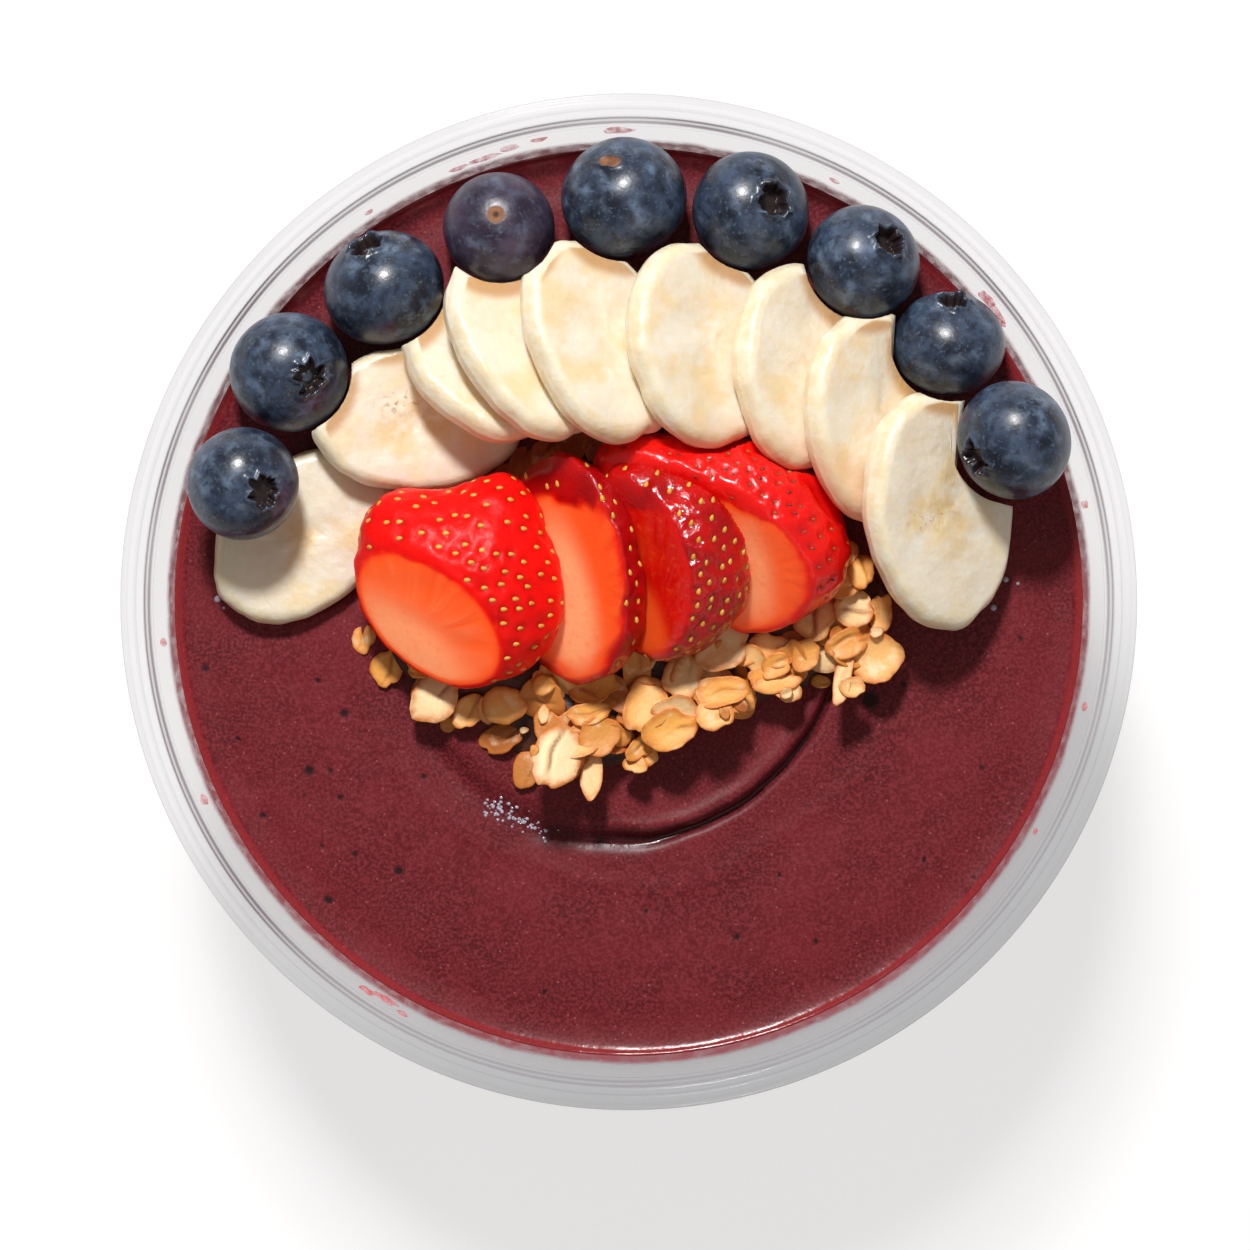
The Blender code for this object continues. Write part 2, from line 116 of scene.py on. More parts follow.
def around(count):
    return [tau * i / count for i in range(count)]


# Meshes

def ring_faces(sizes):
    """Faces joining rings of points that follow one another; a ring of one point is a tip."""
    faces = []
    start = 0
    for low, high in zip(sizes, sizes[1:]):
        upper = start + low
        count = max(low, high)
        for i in range(count):
            j = (i + 1) % count
            if low == 1:
                faces.append((start, upper + j, upper + i))
            elif high == 1:
                faces.append((start + i, start + j, upper))
            else:
                faces.append((start + i, start + j, upper + j, upper + i))
        start = upper
    return faces


class Shell:
    """A mesh gathered ring by ring in millimetres, with numbers by name for each point."""

    def __init__(self):
        self.points = []
        self.faces = []
        self.sizes = []
        self.values = {}

    def ring(self, count):
        """The angles of the next ring, whose points are then added; a ring of one is a tip."""
        self.sizes.append(count)
        return around(count)

    def add(self, point, **numbers):
        self.points.append(point)
        for key, number in numbers.items():
            self.values.setdefault(key, []).append(number)

    def close(self):
        """Joins the rings gathered since the last time."""
        start = len(self.points) - sum(self.sizes)
        self.faces += [tuple(start + i for i in face) for face in ring_faces(self.sizes)]
        self.sizes = []

    def build(self, name, look, place=None):
        """Makes the smooth mesh. A place turns and moves the points, so that its box stays tight."""
        self.close()
        mesh = bpy.data.meshes.new(name)
        mesh.from_pydata([(x * MM, y * MM, z * MM) for x, y, z in self.points], [], self.faces)
        shell = bmesh.new()
        shell.from_mesh(mesh)
        if place is not None:
            shell.transform(place)
        bmesh.ops.recalc_face_normals(shell, faces=shell.faces)
        shell.to_mesh(mesh)
        shell.free()
        mesh.polygons.foreach_set("use_smooth", [True] * len(mesh.polygons))
        for key, numbers in self.values.items():
            layer = mesh.attributes.new(key, "FLOAT", "POINT")
            layer.data.foreach_set("value", numbers)
        mesh.materials.append(look)
        mesh.update()
        made = bpy.data.objects.new(name, mesh)
        bpy.context.collection.objects.link(made)
        return made


def rounded(profile, radius, steps):
    """A profile with each inner corner replaced by a short arc."""
    made = [profile[0]]
    for before, corner, after in zip(profile, profile[1:], profile[2:]):
        corner_point = Vector(corner)
        back = Vector(before) - corner_point
        ahead = Vector(after) - corner_point
        reach = min(radius, back.length * 0.45, ahead.length * 0.45)
        start = corner_point + back.normalized() * reach
        end = corner_point + ahead.normalized() * reach
        for i in range(steps + 1):
            t = i / steps
            point = start * (1 - t) ** 2 + corner_point * (2 * t * (1 - t)) + end * t ** 2
            made.append((point.x, point.y))
    made.append(profile[-1])
    return made


# Node materials

class Look:
    """A material with a Principled shader, and short ways to feed it."""

    def __init__(self, name, roughness=0.5, **numbers):
        self.material = bpy.data.materials.new(name)
        self.material.use_nodes = True
        self.tree = self.material.node_tree
        self.shader = self.tree.nodes["Principled BSDF"]
        self.put("Roughness", roughness)
        for key, number in numbers.items():
            self.put(key.replace("_", " "), number)
        self.place = self.tree.nodes.new("ShaderNodeTexCoord").outputs["Object"]

    def node(self, kind, **settings):
        made = self.tree.nodes.new(kind)
        for key, value in settings.items():
            setattr(made, key, value)
        return made

    def feed(self, socket, value):
        if isinstance(value, bpy.types.NodeSocket):
            self.tree.links.new(value, socket)
        else:
            socket.default_value = value

    def put(self, name, value):
        """Sets or feeds one socket of the shader."""
        self.feed(self.shader.inputs[name], value)

    def value(self, name):
        return self.node("ShaderNodeAttribute", attribute_name=name).outputs["Fac"]

    def noise(self, size, detail=3.0, distortion=0.0):
        """Noise with features of about the given size in millimetres."""
        made = self.node("ShaderNodeTexNoise")
        made.inputs["Scale"].default_value = 1 / (size * MM)
        made.inputs["Detail"].default_value = detail
        made.inputs["Distortion"].default_value = distortion
        self.feed(made.inputs["Vector"], self.place)
        return made.outputs["Fac"]

    def cells(self, size):
        made = self.node("ShaderNodeTexVoronoi")
        made.inputs["Scale"].default_value = 1 / (size * MM)
        self.feed(made.inputs["Vector"], self.place)
        return made.outputs["Distance"]

    def band(self, value, low, high, start=0.0, end=1.0):
        """The value, drawn out so that low to high becomes start to end."""
        made = self.node("ShaderNodeMapRange", interpolation_type="SMOOTHSTEP")
        self.feed(made.inputs["Value"], value)
        for key, number in (("From Min", low), ("From Max", high), ("To Min", start), ("To Max", end)):
            made.inputs[key].default_value = number
        return made.outputs["Result"]

    def patches(self, size, detail, low, high, start=0.0, end=1.0):
        """Soft patches: noise of the given size, drawn out like a band."""
        return self.band(self.noise(size, detail), low, high, start, end)

    def maths(self, operation, a, b):
        made = self.node("ShaderNodeMath", operation=operation)
        self.feed(made.inputs[0], a)
        self.feed(made.inputs[1], b)
        return made.outputs["Value"]

    def times(self, a, b):
        return self.maths("MULTIPLY", a, b)

    def plus(self, a, b):
        return self.maths("ADD", a, b)

    def mix(self, share, a, b):
        made = self.node("ShaderNodeMix", data_type="RGBA")
        self.feed(made.inputs["Factor"], share)
        self.feed(made.inputs["A"], a)
        self.feed(made.inputs["B"], b)
        return made.outputs["Result"]

    def bump(self, height, depth, strength):
        made = self.node("ShaderNodeBump")
        made.inputs["Strength"].default_value = strength
        made.inputs["Distance"].default_value = depth * MM
        self.feed(made.inputs["Height"], height)
        self.put("Normal", made.outputs["Normal"])
        self.put("Coat Normal", made.outputs["Normal"])

    def glow(self, colour, strength):
        self.put("Emission Color", colour)
        self.put("Emission Strength", strength)

    def colour(self, value):
        self.put("Base Color", value)


def srgb(red, green, blue):
    """A screen colour of 0 to 255 as the shader's linear colour."""
    linear = []
    for value in (red, green, blue):
        share = value / 255
        linear.append(share / 12.92 if share <= 0.04045 else ((share + 0.055) / 1.055) ** 2.4)
    return (*linear, 1.0)


# The bowl

def inside_radius(height):
    return WALL_FOOT_RADIUS + (height - WALL_FOOT_HEIGHT) * WALL_DRAFT


def clear_look():
    """Thin clear plastic: see-through, and denser where it is seen edge-on."""
    look = Look("clear_plastic", roughness=0.12)
    groove = look.value("groove")
    shade = look.value("shade")
    # painted shade: greyer and denser towards one side, standing in for the floor's shadow seen through the
    # plastic
    tinted = look.mix(shade, srgb(176, 180, 186), srgb(120, 124, 134))
    # painted dark lines along the rim's step, standing in for how the clear step bends the light
    look.colour(look.mix(groove, tinted, srgb(84, 34, 60)))
    weight = look.node("ShaderNodeLayerWeight")
    weight.inputs["Blend"].default_value = 0.28
    clear = look.band(weight.outputs["Facing"], 0.35, 1.0, CLEAR_HEAD_ON, CLEAR_EDGE_ON)
    clear = look.plus(clear, look.times(shade, 0.16))
    look.put("Alpha", look.maths("MAXIMUM", clear, look.times(groove, 0.95)))
    return look.material


def make_bowl():
    wall_top = LEDGE - 0.7
    foot = FOOT_RADIUS - FOOT_WIDTH
    foot_top = FOOT_RECESS + 1
    under_rim = BOWL_HEIGHT - WALL
    lip = BOWL_HEIGHT - RIM_LIP
    lip_radius = RIM_RADIUS - 0.8
    profile = [
        (0, FOOT_RECESS), (foot - 1.5, FOOT_RECESS), (foot, 0), (FOOT_RADIUS, 0),
        (inside_radius(foot_top) + WALL, foot_top), (inside_radius(wall_top - 1) + WALL, wall_top - 1.2),
        (STEP_RADIUS + WALL, LEDGE - WALL), (STEP_RADIUS + WALL + 0.2, under_rim), (lip_radius, under_rim),
        (lip_radius, lip), (RIM_RADIUS, lip), (RIM_RADIUS, BOWL_HEIGHT), (STEP_RADIUS, BOWL_HEIGHT),
    ]
    profile += [(STEP_RADIUS - 0.1 - 0.12 * i, LEDGE) for i in range(12)]
    profile += [
        (inside_radius(wall_top), wall_top), (inside_radius(WALL_FOOT_HEIGHT), WALL_FOOT_HEIGHT),
        (WALL_FOOT_RADIUS - 1.6, FLOOR), (0, FLOOR),
    ]
    shell = Shell()
    for radius, height in rounded(profile, 0.45, 4):
        # painted dark lines along the rim's step, fainter on the painted-shade side
        dark = bell(radius - STEP_RADIUS + 0.1, 0.24) + 0.85 * bell(radius - STEP_RADIUS + 0.8, 0.26)
        on_ledge = abs(height - LEDGE) < 0.7 and radius > STEP_RADIUS - 1.5
        dark = min(1.0, dark + 0.25) if on_ledge else 0.0
        for a in shell.ring(200 if radius > 0 else 1):
            # how far a point lies in the painted shade
            away = smooth(0.1, 1.0, cos(a - radians(SHADE_DIRECTION)))
            uneven = 0.8 + 0.2 * rough(cos(a) * 40, sin(a) * 40, 0, 9)
            spot = (radius * cos(a), radius * sin(a), height)
            shell.add(spot, groove=dark * uneven * (1 - 0.5 * away), shade=away)
    bowl = shell.build("clear_bowl", clear_look())
    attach(bowl, "root")
    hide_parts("bowl")


def wall_point(angle, height, off=0.06):
    radius = inside_radius(height) - off
    return (radius * cos(angle), radius * sin(angle), height)


def make_film():
    """The thin purple film that the acai leaves on the wall just above its surface."""
    shell = Shell()
    rows = 9
    for row in range(rows):
        share = row / (rows - 1)
        for angle in shell.ring(420):
            x, y, z = wall_point(angle, ACAI_LEVEL, 0.4)
            reach = 3.3 + 0.5 * rough(x, y, 0, 14) + 0.4 * rough(x, y, 0, 3.5, 7)
            spot = wall_point(angle, ACAI_LEVEL + 0.4 + share * reach)
            shell.add(spot, cover=1.0 - smooth(0.55, 1.0, share))
    look = Look("acai_film", roughness=0.3)
    look.colour(look.mix(look.noise(2.5), srgb(140, 58, 66), srgb(112, 42, 52)))
    # painted light: the film glows a little, so it stays pink where it lies in shade
    look.glow(look.mix(look.noise(3.0), srgb(190, 110, 118), srgb(160, 84, 92)), 0.22)
    look.put("Alpha", look.times(look.value("cover"), look.patches(1.6, 4, 0.25, 0.65, 0.6, 0.92)))
    film = shell.build("acai_film", look.material)
    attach(film, "root")


# Splashes on the wall: angle round the bowl, height, length along the wall and width
SPLASHES = (
    (91.4, 56.2, 2.6, 0.9), (101.0, 56.0, 1.3, 0.6), (104.8, 55.5, 1.5, 0.9), (108.0, 54.6, 2.8, 0.7),
    (111.5, 54.4, 1.6, 0.6), (40.2, 55.4, 1.6, 1.4), (38.6, 55.1, 2.6, 1.1), (36.9, 54.4, 1.0, 0.6),
    (22.1, 55.2, 1.0, 1.7), (72.3, 54.6, 1.9, 0.5), (64.0, 55.3, 0.9, 0.5), (123.7, 55.2, 0.7, 0.5),
    (185.0, 54.8, 0.7, 1.0), (205.0, 55.2, 0.8, 1.2), (236.0, 55.4, 1.5, 0.8), (238.4, 54.4, 2.2, 0.9),
    (241.2, 55.7, 0.9, 0.6), (330.5, 54.8, 0.6, 0.6), (347.0, 55.0, 0.7, 0.9), (12.0, 54.5, 0.6, 1.1),
)


def make_splashes():
    shell = Shell()
    for number, (bearing, height, length, width) in enumerate(SPLASHES):
        for share, off in ((0.0, 0.35), (0.6, 0.26), (1.0, 0.05)):
            for a in shell.ring(20 if share else 1):
                uneven = share * (1 + 0.35 * rough(cos(a) * 2, sin(a) * 2, number * 9, 1.3))
                along = radians(bearing) + length * uneven * cos(a) / 70
                shell.add(wall_point(along, height + width * uneven * sin(a), off))
        shell.close()
    look = Look("acai_splash", roughness=0.25)
    look.colour(look.mix(look.noise(1.0), srgb(206, 44, 62), srgb(170, 30, 48)))
    # painted light: the splashes glow a little, so they stay red where they lie in shade
    look.glow(look.mix(look.noise(1.0), srgb(226, 84, 98), srgb(196, 56, 70)), 0.4)
    look.put("Alpha", look.patches(0.9, 4, 0.3, 0.7, 0.25, 0.75))
    splashes = shell.build("acai_splashes", look.material)
    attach(splashes, "root")


# The acai

# Pits in the surface, painted dark as the shade inside them: x, y and radius
PITS = (
    (-42.4, -16.6, 0.7), (-46.3, -11.7, 0.5), (-63.1, -9.8, 0.6), (-54.5, -31.9, 0.55),
    (-40.8, -37.6, 0.5), (-34.3, -40.1, 0.75), (-44.8, -44.4, 0.7), (-43.0, -29.1, 0.5),
    (-44.5, -25.0, 0.45), (-47.6, -25.1, 0.8), (-45.8, -36.2, 0.45), (-30.3, -16.7, 0.7),
    (-30.6, -26.0, 0.5), (16.1, -49.9, 0.6), (36.0, -14.6, 1.4), (40.9, -12.3, 0.5),
    (58.4, -5.5, 0.5), (27.8, -50.6, 0.5), (2.6, -46.1, 0.4), (44.0, -38.5, 0.45),
    (-12.5, -58.2, 0.45), (22.4, -40.7, 0.4), (52.6, -24.8, 0.45), (-58.3, -20.3, 0.4),
)
PIT_REACH = 2.2


def swirl_distance(x, y):
    """How far a point lies outside the swirl's edge, which wanders a little."""
    radius = hypot(x * 1.04 + 1.4, y * 0.99 + 0.6)
    wander = 0.7 + 0.5 * sin(2 * atan2(y, x) + 0.5)
    return radius - (SWIRL_RADIUS + wander + 0.5 * rough(x, y, 0, 16, 3) + 0.4 * rough(x, y, 0, 6, 4))


def acai_height(x, y):
    """The surface: a raised swirl, sharp at the right, a low ring by the wall and a meniscus."""
    radius = hypot(x, y)
    wall = inside_radius(ACAI_LEVEL)
    out = swirl_distance(x, y)
    angle = degrees(atan2(y, x))
    sharp = smooth(-125, -60, angle) * (1 - smooth(-22, -8, angle))
    width = 4.2 - 3.0 * sharp
    raised = SWIRL_HEIGHT * smooth(0.6, 0.6 - width, out)
    lip = (0.12 + 0.3 * sharp) * bell(out + 1.3, 1.3)
    crease = -(0.3 + 0.9 * sharp) * bell(out - 0.3, 1.9 - 1.2 * sharp)
    broad = 0.18 * bell(radius - 49.0, 6.5)
    second = 0.14 * bell(radius - 42.5 + 2 * rough(x, y, 0, 25), 1.6) * smooth(0, -60, angle)
    trough = -0.2 * bell(radius - wall + 4.4, 2.4)
    meniscus = 0.75 * exp(-(max(0.0, wall - radius) / 0.8))
    uneven = 0.24 * rough(x, y, 0, 13, 1) + 0.06 * rough(x, y, 0, 3.5, 2)
    return ACAI_LEVEL + raised + lip + crease + broad + second + trough + meniscus + uneven


def crease_shade(x, y):
    """How much painted shade the swirl's crease gets: a thin line at the right that fades out to the left.
    """
    angle = degrees(atan2(y, x))
    sharp = smooth(-135, -90, angle) * (1 - smooth(-28, -12, angle))
    out = swirl_distance(x, y)
    wide = 0.75 + 1.3 * smooth(-60, -120, angle)
    return min(1.0, 1.3 * sharp * bell(out - 0.3, wide) * (0.8 + 0.3 * rough(x, y, 0, 3.0, 5)))


def tree_over(starts):
    """One search tree of the CAD nodes whose names start so."""
    points = []
    faces = []
    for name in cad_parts:
        if name.startswith(starts):
            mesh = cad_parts[name].data
            start = len(points)
            points += [vert.co.copy() for vert in mesh.vertices]
            faces += [tuple(start + i for i in face.vertices) for face in mesh.polygons]
    return BVHTree.FromPolygons(points, faces)


def ray_up(tree, x, y):
    """What a ray meets that starts inside the acai and goes straight up."""
    return tree.ray_cast(Vector((x * MM, y * MM, RAY_START * MM)), UP)


def acai_look():
    look = Look("acai", Specular_IOR_Level=0.25)
    grain = look.mix(look.patches(9, 4, 0.3, 0.7), srgb(110, 27, 35), srgb(86, 18, 26))
    grain = look.mix(look.patches(0.45, 2, 0.35, 0.7), grain, srgb(128, 44, 52))
    grain = look.mix(look.times(look.band(look.cells(1.7), 0.13, 0.05), 0.5), grain, srgb(180, 100, 104))
    # painted shade: small dark dots scattered like pits
    grain = look.mix(look.times(look.band(look.cells(5.6), 0.075, 0.035), 0.8), grain, srgb(52, 18, 22))
    # painted shade in the listed pits
    grain = look.mix(look.band(look.value("pit"), 0.15, 0.75), grain, srgb(40, 14, 18))
    edge = look.value("edge")
    crease = look.value("crease")
    # painted shade along the swirl's crease
    grain = look.mix(look.times(crease, 0.75), grain, srgb(34, 10, 14))
    look.colour(look.mix(look.band(edge, 0.35, 1.0, 0.0, 0.62), grain, srgb(158, 50, 54)))
    wet = look.maths("MAXIMUM", edge, look.times(crease, 0.8))
    look.put("Roughness", look.band(wet, 0.0, 1.0, 0.42, 0.16))
    look.bump(look.plus(look.noise(0.5), look.times(look.cells(0.9), 0.5)), 0.05, 0.5)
    return look.material


def make_acai():
    wall = inside_radius(ACAI_LEVEL) + 0.25
    sides = 560
    radii = [wall - 0.28 * i for i in range(6)]
    radii += [radii[-1] - 0.46 * (i + 1) for i in range(141)]
    toppings = tree_over(("banana", "blueberry"))
    marks = kdtree.KDTree(len(PITS))
    for i, (x, y, size) in enumerate(PITS):
        marks.insert((x, y, 0), i)
    marks.balance()
    shell = Shell()
    for radius, height in (
        (0, FLOOR - 0.2), (WALL_FOOT_RADIUS - 3.0, FLOOR - 0.2), (inside_radius(5) + 0.25, 5),
        (wall, ACAI_LEVEL - 1), (wall, ACAI_LEVEL + 0.4),
    ):
        for angle in shell.ring(sides if radius > 0 else 1):
            shell.add((radius * cos(angle), radius * sin(angle), height), pit=0.0, edge=1.0, crease=0.0)
    for radius in [radius for radius in radii if radius > 1.5]:
        for angle in shell.ring(sides):
            x = radius * cos(angle)
            y = radius * sin(angle)
            height = acai_height(x, y)
            near = marks.find_range((x, y, 0), PIT_REACH)
            # how much painted pit shade a point gets
            dark = max((bell(away, PITS[i][2]) for spot, i, away in near), default=0.0)
            hit = ray_up(toppings, x, y)
            if hit[0] is not None:
                # the surface stays just below whatever lies in it
                height = min(height, hit[3] / MM + RAY_START - 0.1)
            edge = smooth(wall - 2.1, wall - 0.5, radius)
            shell.add((x, y, height - 0.12 * dark), pit=dark, edge=edge, crease=crease_shade(x, y))
    for angle in shell.ring(1):
        shell.add((0, 0, acai_height(0, 0)), pit=0.0, edge=0.0, crease=0.0)
    acai = shell.build("acai_surface", acai_look())
    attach(acai, "root")
    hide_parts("acai")


# Bubbles by the wall: x, y and radius
WALL_BUBBLES = [
    (56.2, 3.3, 0.45), (58.0, 2.7, 0.3), (54.4, -0.9, 0.5), (-61.3, 0.4, 0.55), (-60.4, -0.9, 0.25),
]


def make_bubbles():
    """A cluster of tiny wet bubbles where the swirl's edge turns, and a few by the wall; their pale
    blue-white is partly painted glint.
    """
    dice = random.Random(7)
    spots = []
    for i in range(90):
        along = dice.random()
        x = -21.2 + 9.4 * along + dice.gauss(0, 0.8)
        y = -30.0 - 4.6 * along + dice.gauss(0, 0.8)
        spots.append((x, y, dice.uniform(0.1, 0.3)))
    shell = Shell()
    for x, y, size in spots + WALL_BUBBLES:
        foot = acai_height(x, y) - 0.05
        for level in range(5):
            turn = pi / 2 * level / 4
            wide = size * sin(turn)
            for a in shell.ring(10 if level else 1):
                shell.add((x + wide * cos(a), y + wide * sin(a), foot + 0.8 * size * cos(turn)))
        shell.close()
    look = Look("foam_painted_glint", roughness=0.12, Coat_Weight=0.4, Coat_Roughness=0.05)
    # painted glint: the bubbles' pale blue-white stands in for the bluish light they catch
    look.colour(look.mix(look.noise(0.8), srgb(206, 214, 230), srgb(150, 120, 140)))
    bubbles = shell.build("bubbles_painted_glint", look.material)
    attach(bubbles, "root")


# The blueberries: x, y, diameter, stretch, the crown's offset as seen from above, and its kind
BERRIES = (
    (-56.6, 17.4, 16.8, 0.94, 0.46, -0.14, "star"),
    (-50.2, 34.0, 18.0, 0.94, 0.44, -0.13, "open_star"),
    (-36.3, 46.6, 18.2, 0.90, -0.33, 0.78, "hollow"),
    (-19.2, 55.4, 16.8, 0.92, -0.04, 0.21, "scar"),
    (-0.8, 59.8, 18.9, 0.92, -0.25, 0.60, "oval"),
    (18.1, 57.8, 17.8, 0.92, 0.44, 0.15, "hollow"),
    (34.7, 50.4, 17.2, 0.92, 0.50, 0.36, "hollow"),
    (47.3, 38.3, 17.1, 0.88, 0.07, 0.86, "hollow"),
    (56.4, 23.6, 17.7, 0.92, -0.76, -0.37, "star"),
)
BERRY_ROOM = 0.3
CROWN_REACH = 1.2  # radians from the crown's middle, beyond which the skin is plain


def berry_look():
    look = Look("blueberry_skin", Coat_Roughness=0.16)
    broad = look.noise(5.0, 4, distortion=0.6)
    brown = look.value("brown")
    skin = look.mix(look.band(broad, 0.32, 0.68), srgb(26, 31, 46), srgb(60, 76, 101))
    bloom = look.times(look.patches(2.2, 5, 0.45, 0.75), look.patches(7.0, 2, 0.3, 0.6))
    skin = look.mix(look.times(bloom, 0.75), skin, srgb(128, 150, 178))
    skin = look.mix(look.times(look.patches(1.1, 6, 0.46, 0.66), 0.78), skin, srgb(20, 24, 36))
    skin = look.mix(look.times(look.patches(0.55, 4, 0.55, 0.72), 0.3), skin, srgb(126, 146, 172))
    purple = look.times(look.value("purple"), look.band(broad, 0.3, 0.7, 0.5, 1.3))
    skin = look.mix(purple, skin, srgb(74, 44, 66))
    skin = look.mix(brown, skin, look.mix(look.noise(0.7), srgb(120, 70, 40), srgb(176, 122, 84)))
    # the crown's dark: partly the calyx's own colour, partly painted shade in its recess
    skin = look.mix(look.value("dark"), skin, look.mix(look.noise(0.8), srgb(16, 13, 18), srgb(58, 42, 42)))
    look.colour(skin)
    look.put("Roughness", look.plus(look.times(brown, 0.5), look.band(broad, 0.3, 0.7, 0.27, 0.42)))
    look.put("Coat Weight", look.band(brown, 0.0, 0.5, 0.1, 0.0))
    look.bump(look.noise(0.5, 4), 0.05, 0.5)
    return look.material


def crown_relief(kind, share, angle, seed):
    """Height in millimetres and the dark and brown shares at a distance from the crown's middle; the dark is
    partly the calyx's own colour and partly painted shade in the recess.
    """
    east = cos(angle)
    north = sin(angle)
    ragged = 0.018 * sin(7 * angle + seed)
    ragged += 0.05 * rough(east, north, seed, 0.6) + 0.04 * rough(east, north, seed, 0.22)
    lobes = cos(5 * angle + seed)
    if kind == "scar":
        height = -0.1 * (1 - smooth(0.02, 0.15, share)) + 0.12 * ragged * smooth(0.3, 0.1, share)
        return height, 0.9 * (1 - smooth(0.03, 0.08, share)), 0.95 * (1 - smooth(0.12, 0.19, share))
    if kind == "oval":
        reach = share / (1 + 0.35 * cos(2 * angle + 0.6))
        height = -0.5 * (1 - smooth(0.04, 0.15, reach)) + 0.12 * bell(reach - 0.16, 0.03)
        return height, 0.5 * (1 - smooth(0.02, 0.09, reach)), 0.9 * (1 - smooth(0.1, 0.17, reach))
    if kind == "hollow":
        mouth = 0.27 + ragged
        height = -2.0 * (1 - smooth(mouth - 0.09, mouth, share)) ** 0.8
        height += 0.75 * (0.6 + 0.4 * lobes) * bell(share - mouth - 0.045, 0.04)
        return height, 1 - smooth(mouth - 0.03, mouth + 0.035, share), 0.0
    mouth = 0.265 + 0.03 * lobes + 1.7 * ragged
    height = 0.4 * bell(share - mouth - 0.035, 0.045) - 1.25 * (1 - smooth(mouth - 0.07, mouth, share))
    dark = 1 - smooth(mouth - 0.02, mouth + 0.04, share)
    middle = 0.55 * (1 - smooth(0.06, 0.13, share)) if kind == "open_star" else 0.0
    return height + 0.5 * middle, dark * (1 - middle), 0.0


def make_berries():
    look = berry_look()
    rows = 96
    sides = 128
    for number, (x, y, diameter, stretch, east, north, kind) in enumerate(BERRIES, start=1):
        low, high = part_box(f"blueberry_{number}")
        crown = Vector((east, north, sqrt(max(0.0, 1 - east * east - north * north))))
        centre = Vector(low) / MM * 0.5 + Vector(high) / MM * 0.5 - crown * 0.15
        shell = Shell()
        for row in range(rows + 1):
            # rows crowd together at the crown, where the detail is
            polar = pi * (row / rows) ** 1.5
            share = sin(polar) if polar < pi / 2 else 1.0
            for angle in shell.ring(sides if 0 < row < rows else 1):
                lift, dark, brown = (0.0, 0.0, 0.0)
                if polar < CROWN_REACH:
                    lift, dark, brown = crown_relief(kind, share, angle, number * 1.7)
                unit = Vector((sin(polar) * cos(angle), sin(polar) * sin(angle), cos(polar)))
                shape = 1 + 0.012 * rough(unit.x, unit.y, unit.z, 0.8, number)
                point = unit * (diameter / 2) * (shape - 0.035 * bell(polar, 0.35) - 0.012)
                point.z = point.z * stretch + lift
                shell.add(point, dark=dark, brown=brown, purple=0.5 if kind == "scar" else 0.0)
        turn = UP.rotation_difference(crown).to_matrix().to_4x4()
        berry = shell.build(f"berry_{number}", look, Matrix.Translation(centre * MM) @ turn)
        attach(berry, "root")
        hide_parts(f"blueberry_{number}")


# The banana slices: x, y, half length, half width as seen, direction of the length and of the
# lean, and how far the core shows
BANANAS = (
    (-48.2, 9.9, 15.7, 11.3, 40, -20, 0.7),
    (-31.0, 27.2, 16.4, 11.4, 4, 10, 1.0),
    (-22.2, 34.6, 13.2, 9.6, 128, 62, 0.2),
    (-15.1, 38.0, 15.6, 10.8, 118, 42, 0.2),
    (-4.2, 38.5, 15.8, 11.4, 114, 30, 0.35),
    (11.1, 37.9, 15.4, 12.4, 107, 16, 0.45),
    (25.5, 34.6, 15.3, 11.4, 97, 8, 0.3),
    (36.2, 27.6, 16.0, 11.6, 99, 2, 0.4),
    (45.6, 13.6, 18.2, 12.2, 102, -4, 1.0),
)
BANANA_THICKNESS = 4.9
SLICE_EDGE = 2.0  # how far in the rounding of a slice's edge reaches
SLICE_TOPS = 34  # rings on the top
SLICE_SIDES = 21  # rings on the edges and the side
UPPER_SLICES = 27.5  # slices further up than this have blunt ends by the strawberries
NEAR_END_SWELL = 0.09
# Where the brown of the core lies: slice, x and y
BROWN_CORES = {2: (-33.5, 29.5), 9: (43.8, 12.3)}
FAR_AWAY = (999, 999)


def lie_of(name, x, y, along, lean):
    """A slice's turn and middle: its tilt is the one at which its solid is thinnest."""
    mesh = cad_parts[name].data
    spots = numpy.array([vert.co[:] for vert in mesh.vertices]) / MM
    flat = Matrix.Rotation(radians(along), 3, "Z")
    best = None
    for tilt in range(60):
        turn = Matrix.Rotation(radians(tilt), 3, compass(lean + 90)) @ flat
        levels = spots @ numpy.array(turn.col[2])
        if best is None or levels.max() - levels.min() < best[0]:
            best = (levels.max() - levels.min(), tilt, turn, float(levels.min()))
    thickness, tilt, turn, lowest = best
    normal = turn.col[2]
    level = lowest + BANANA_THICKNESS / 2
    return tilt, turn, Vector((x, y, (level - normal.x * x - normal.y * y) / normal.z))


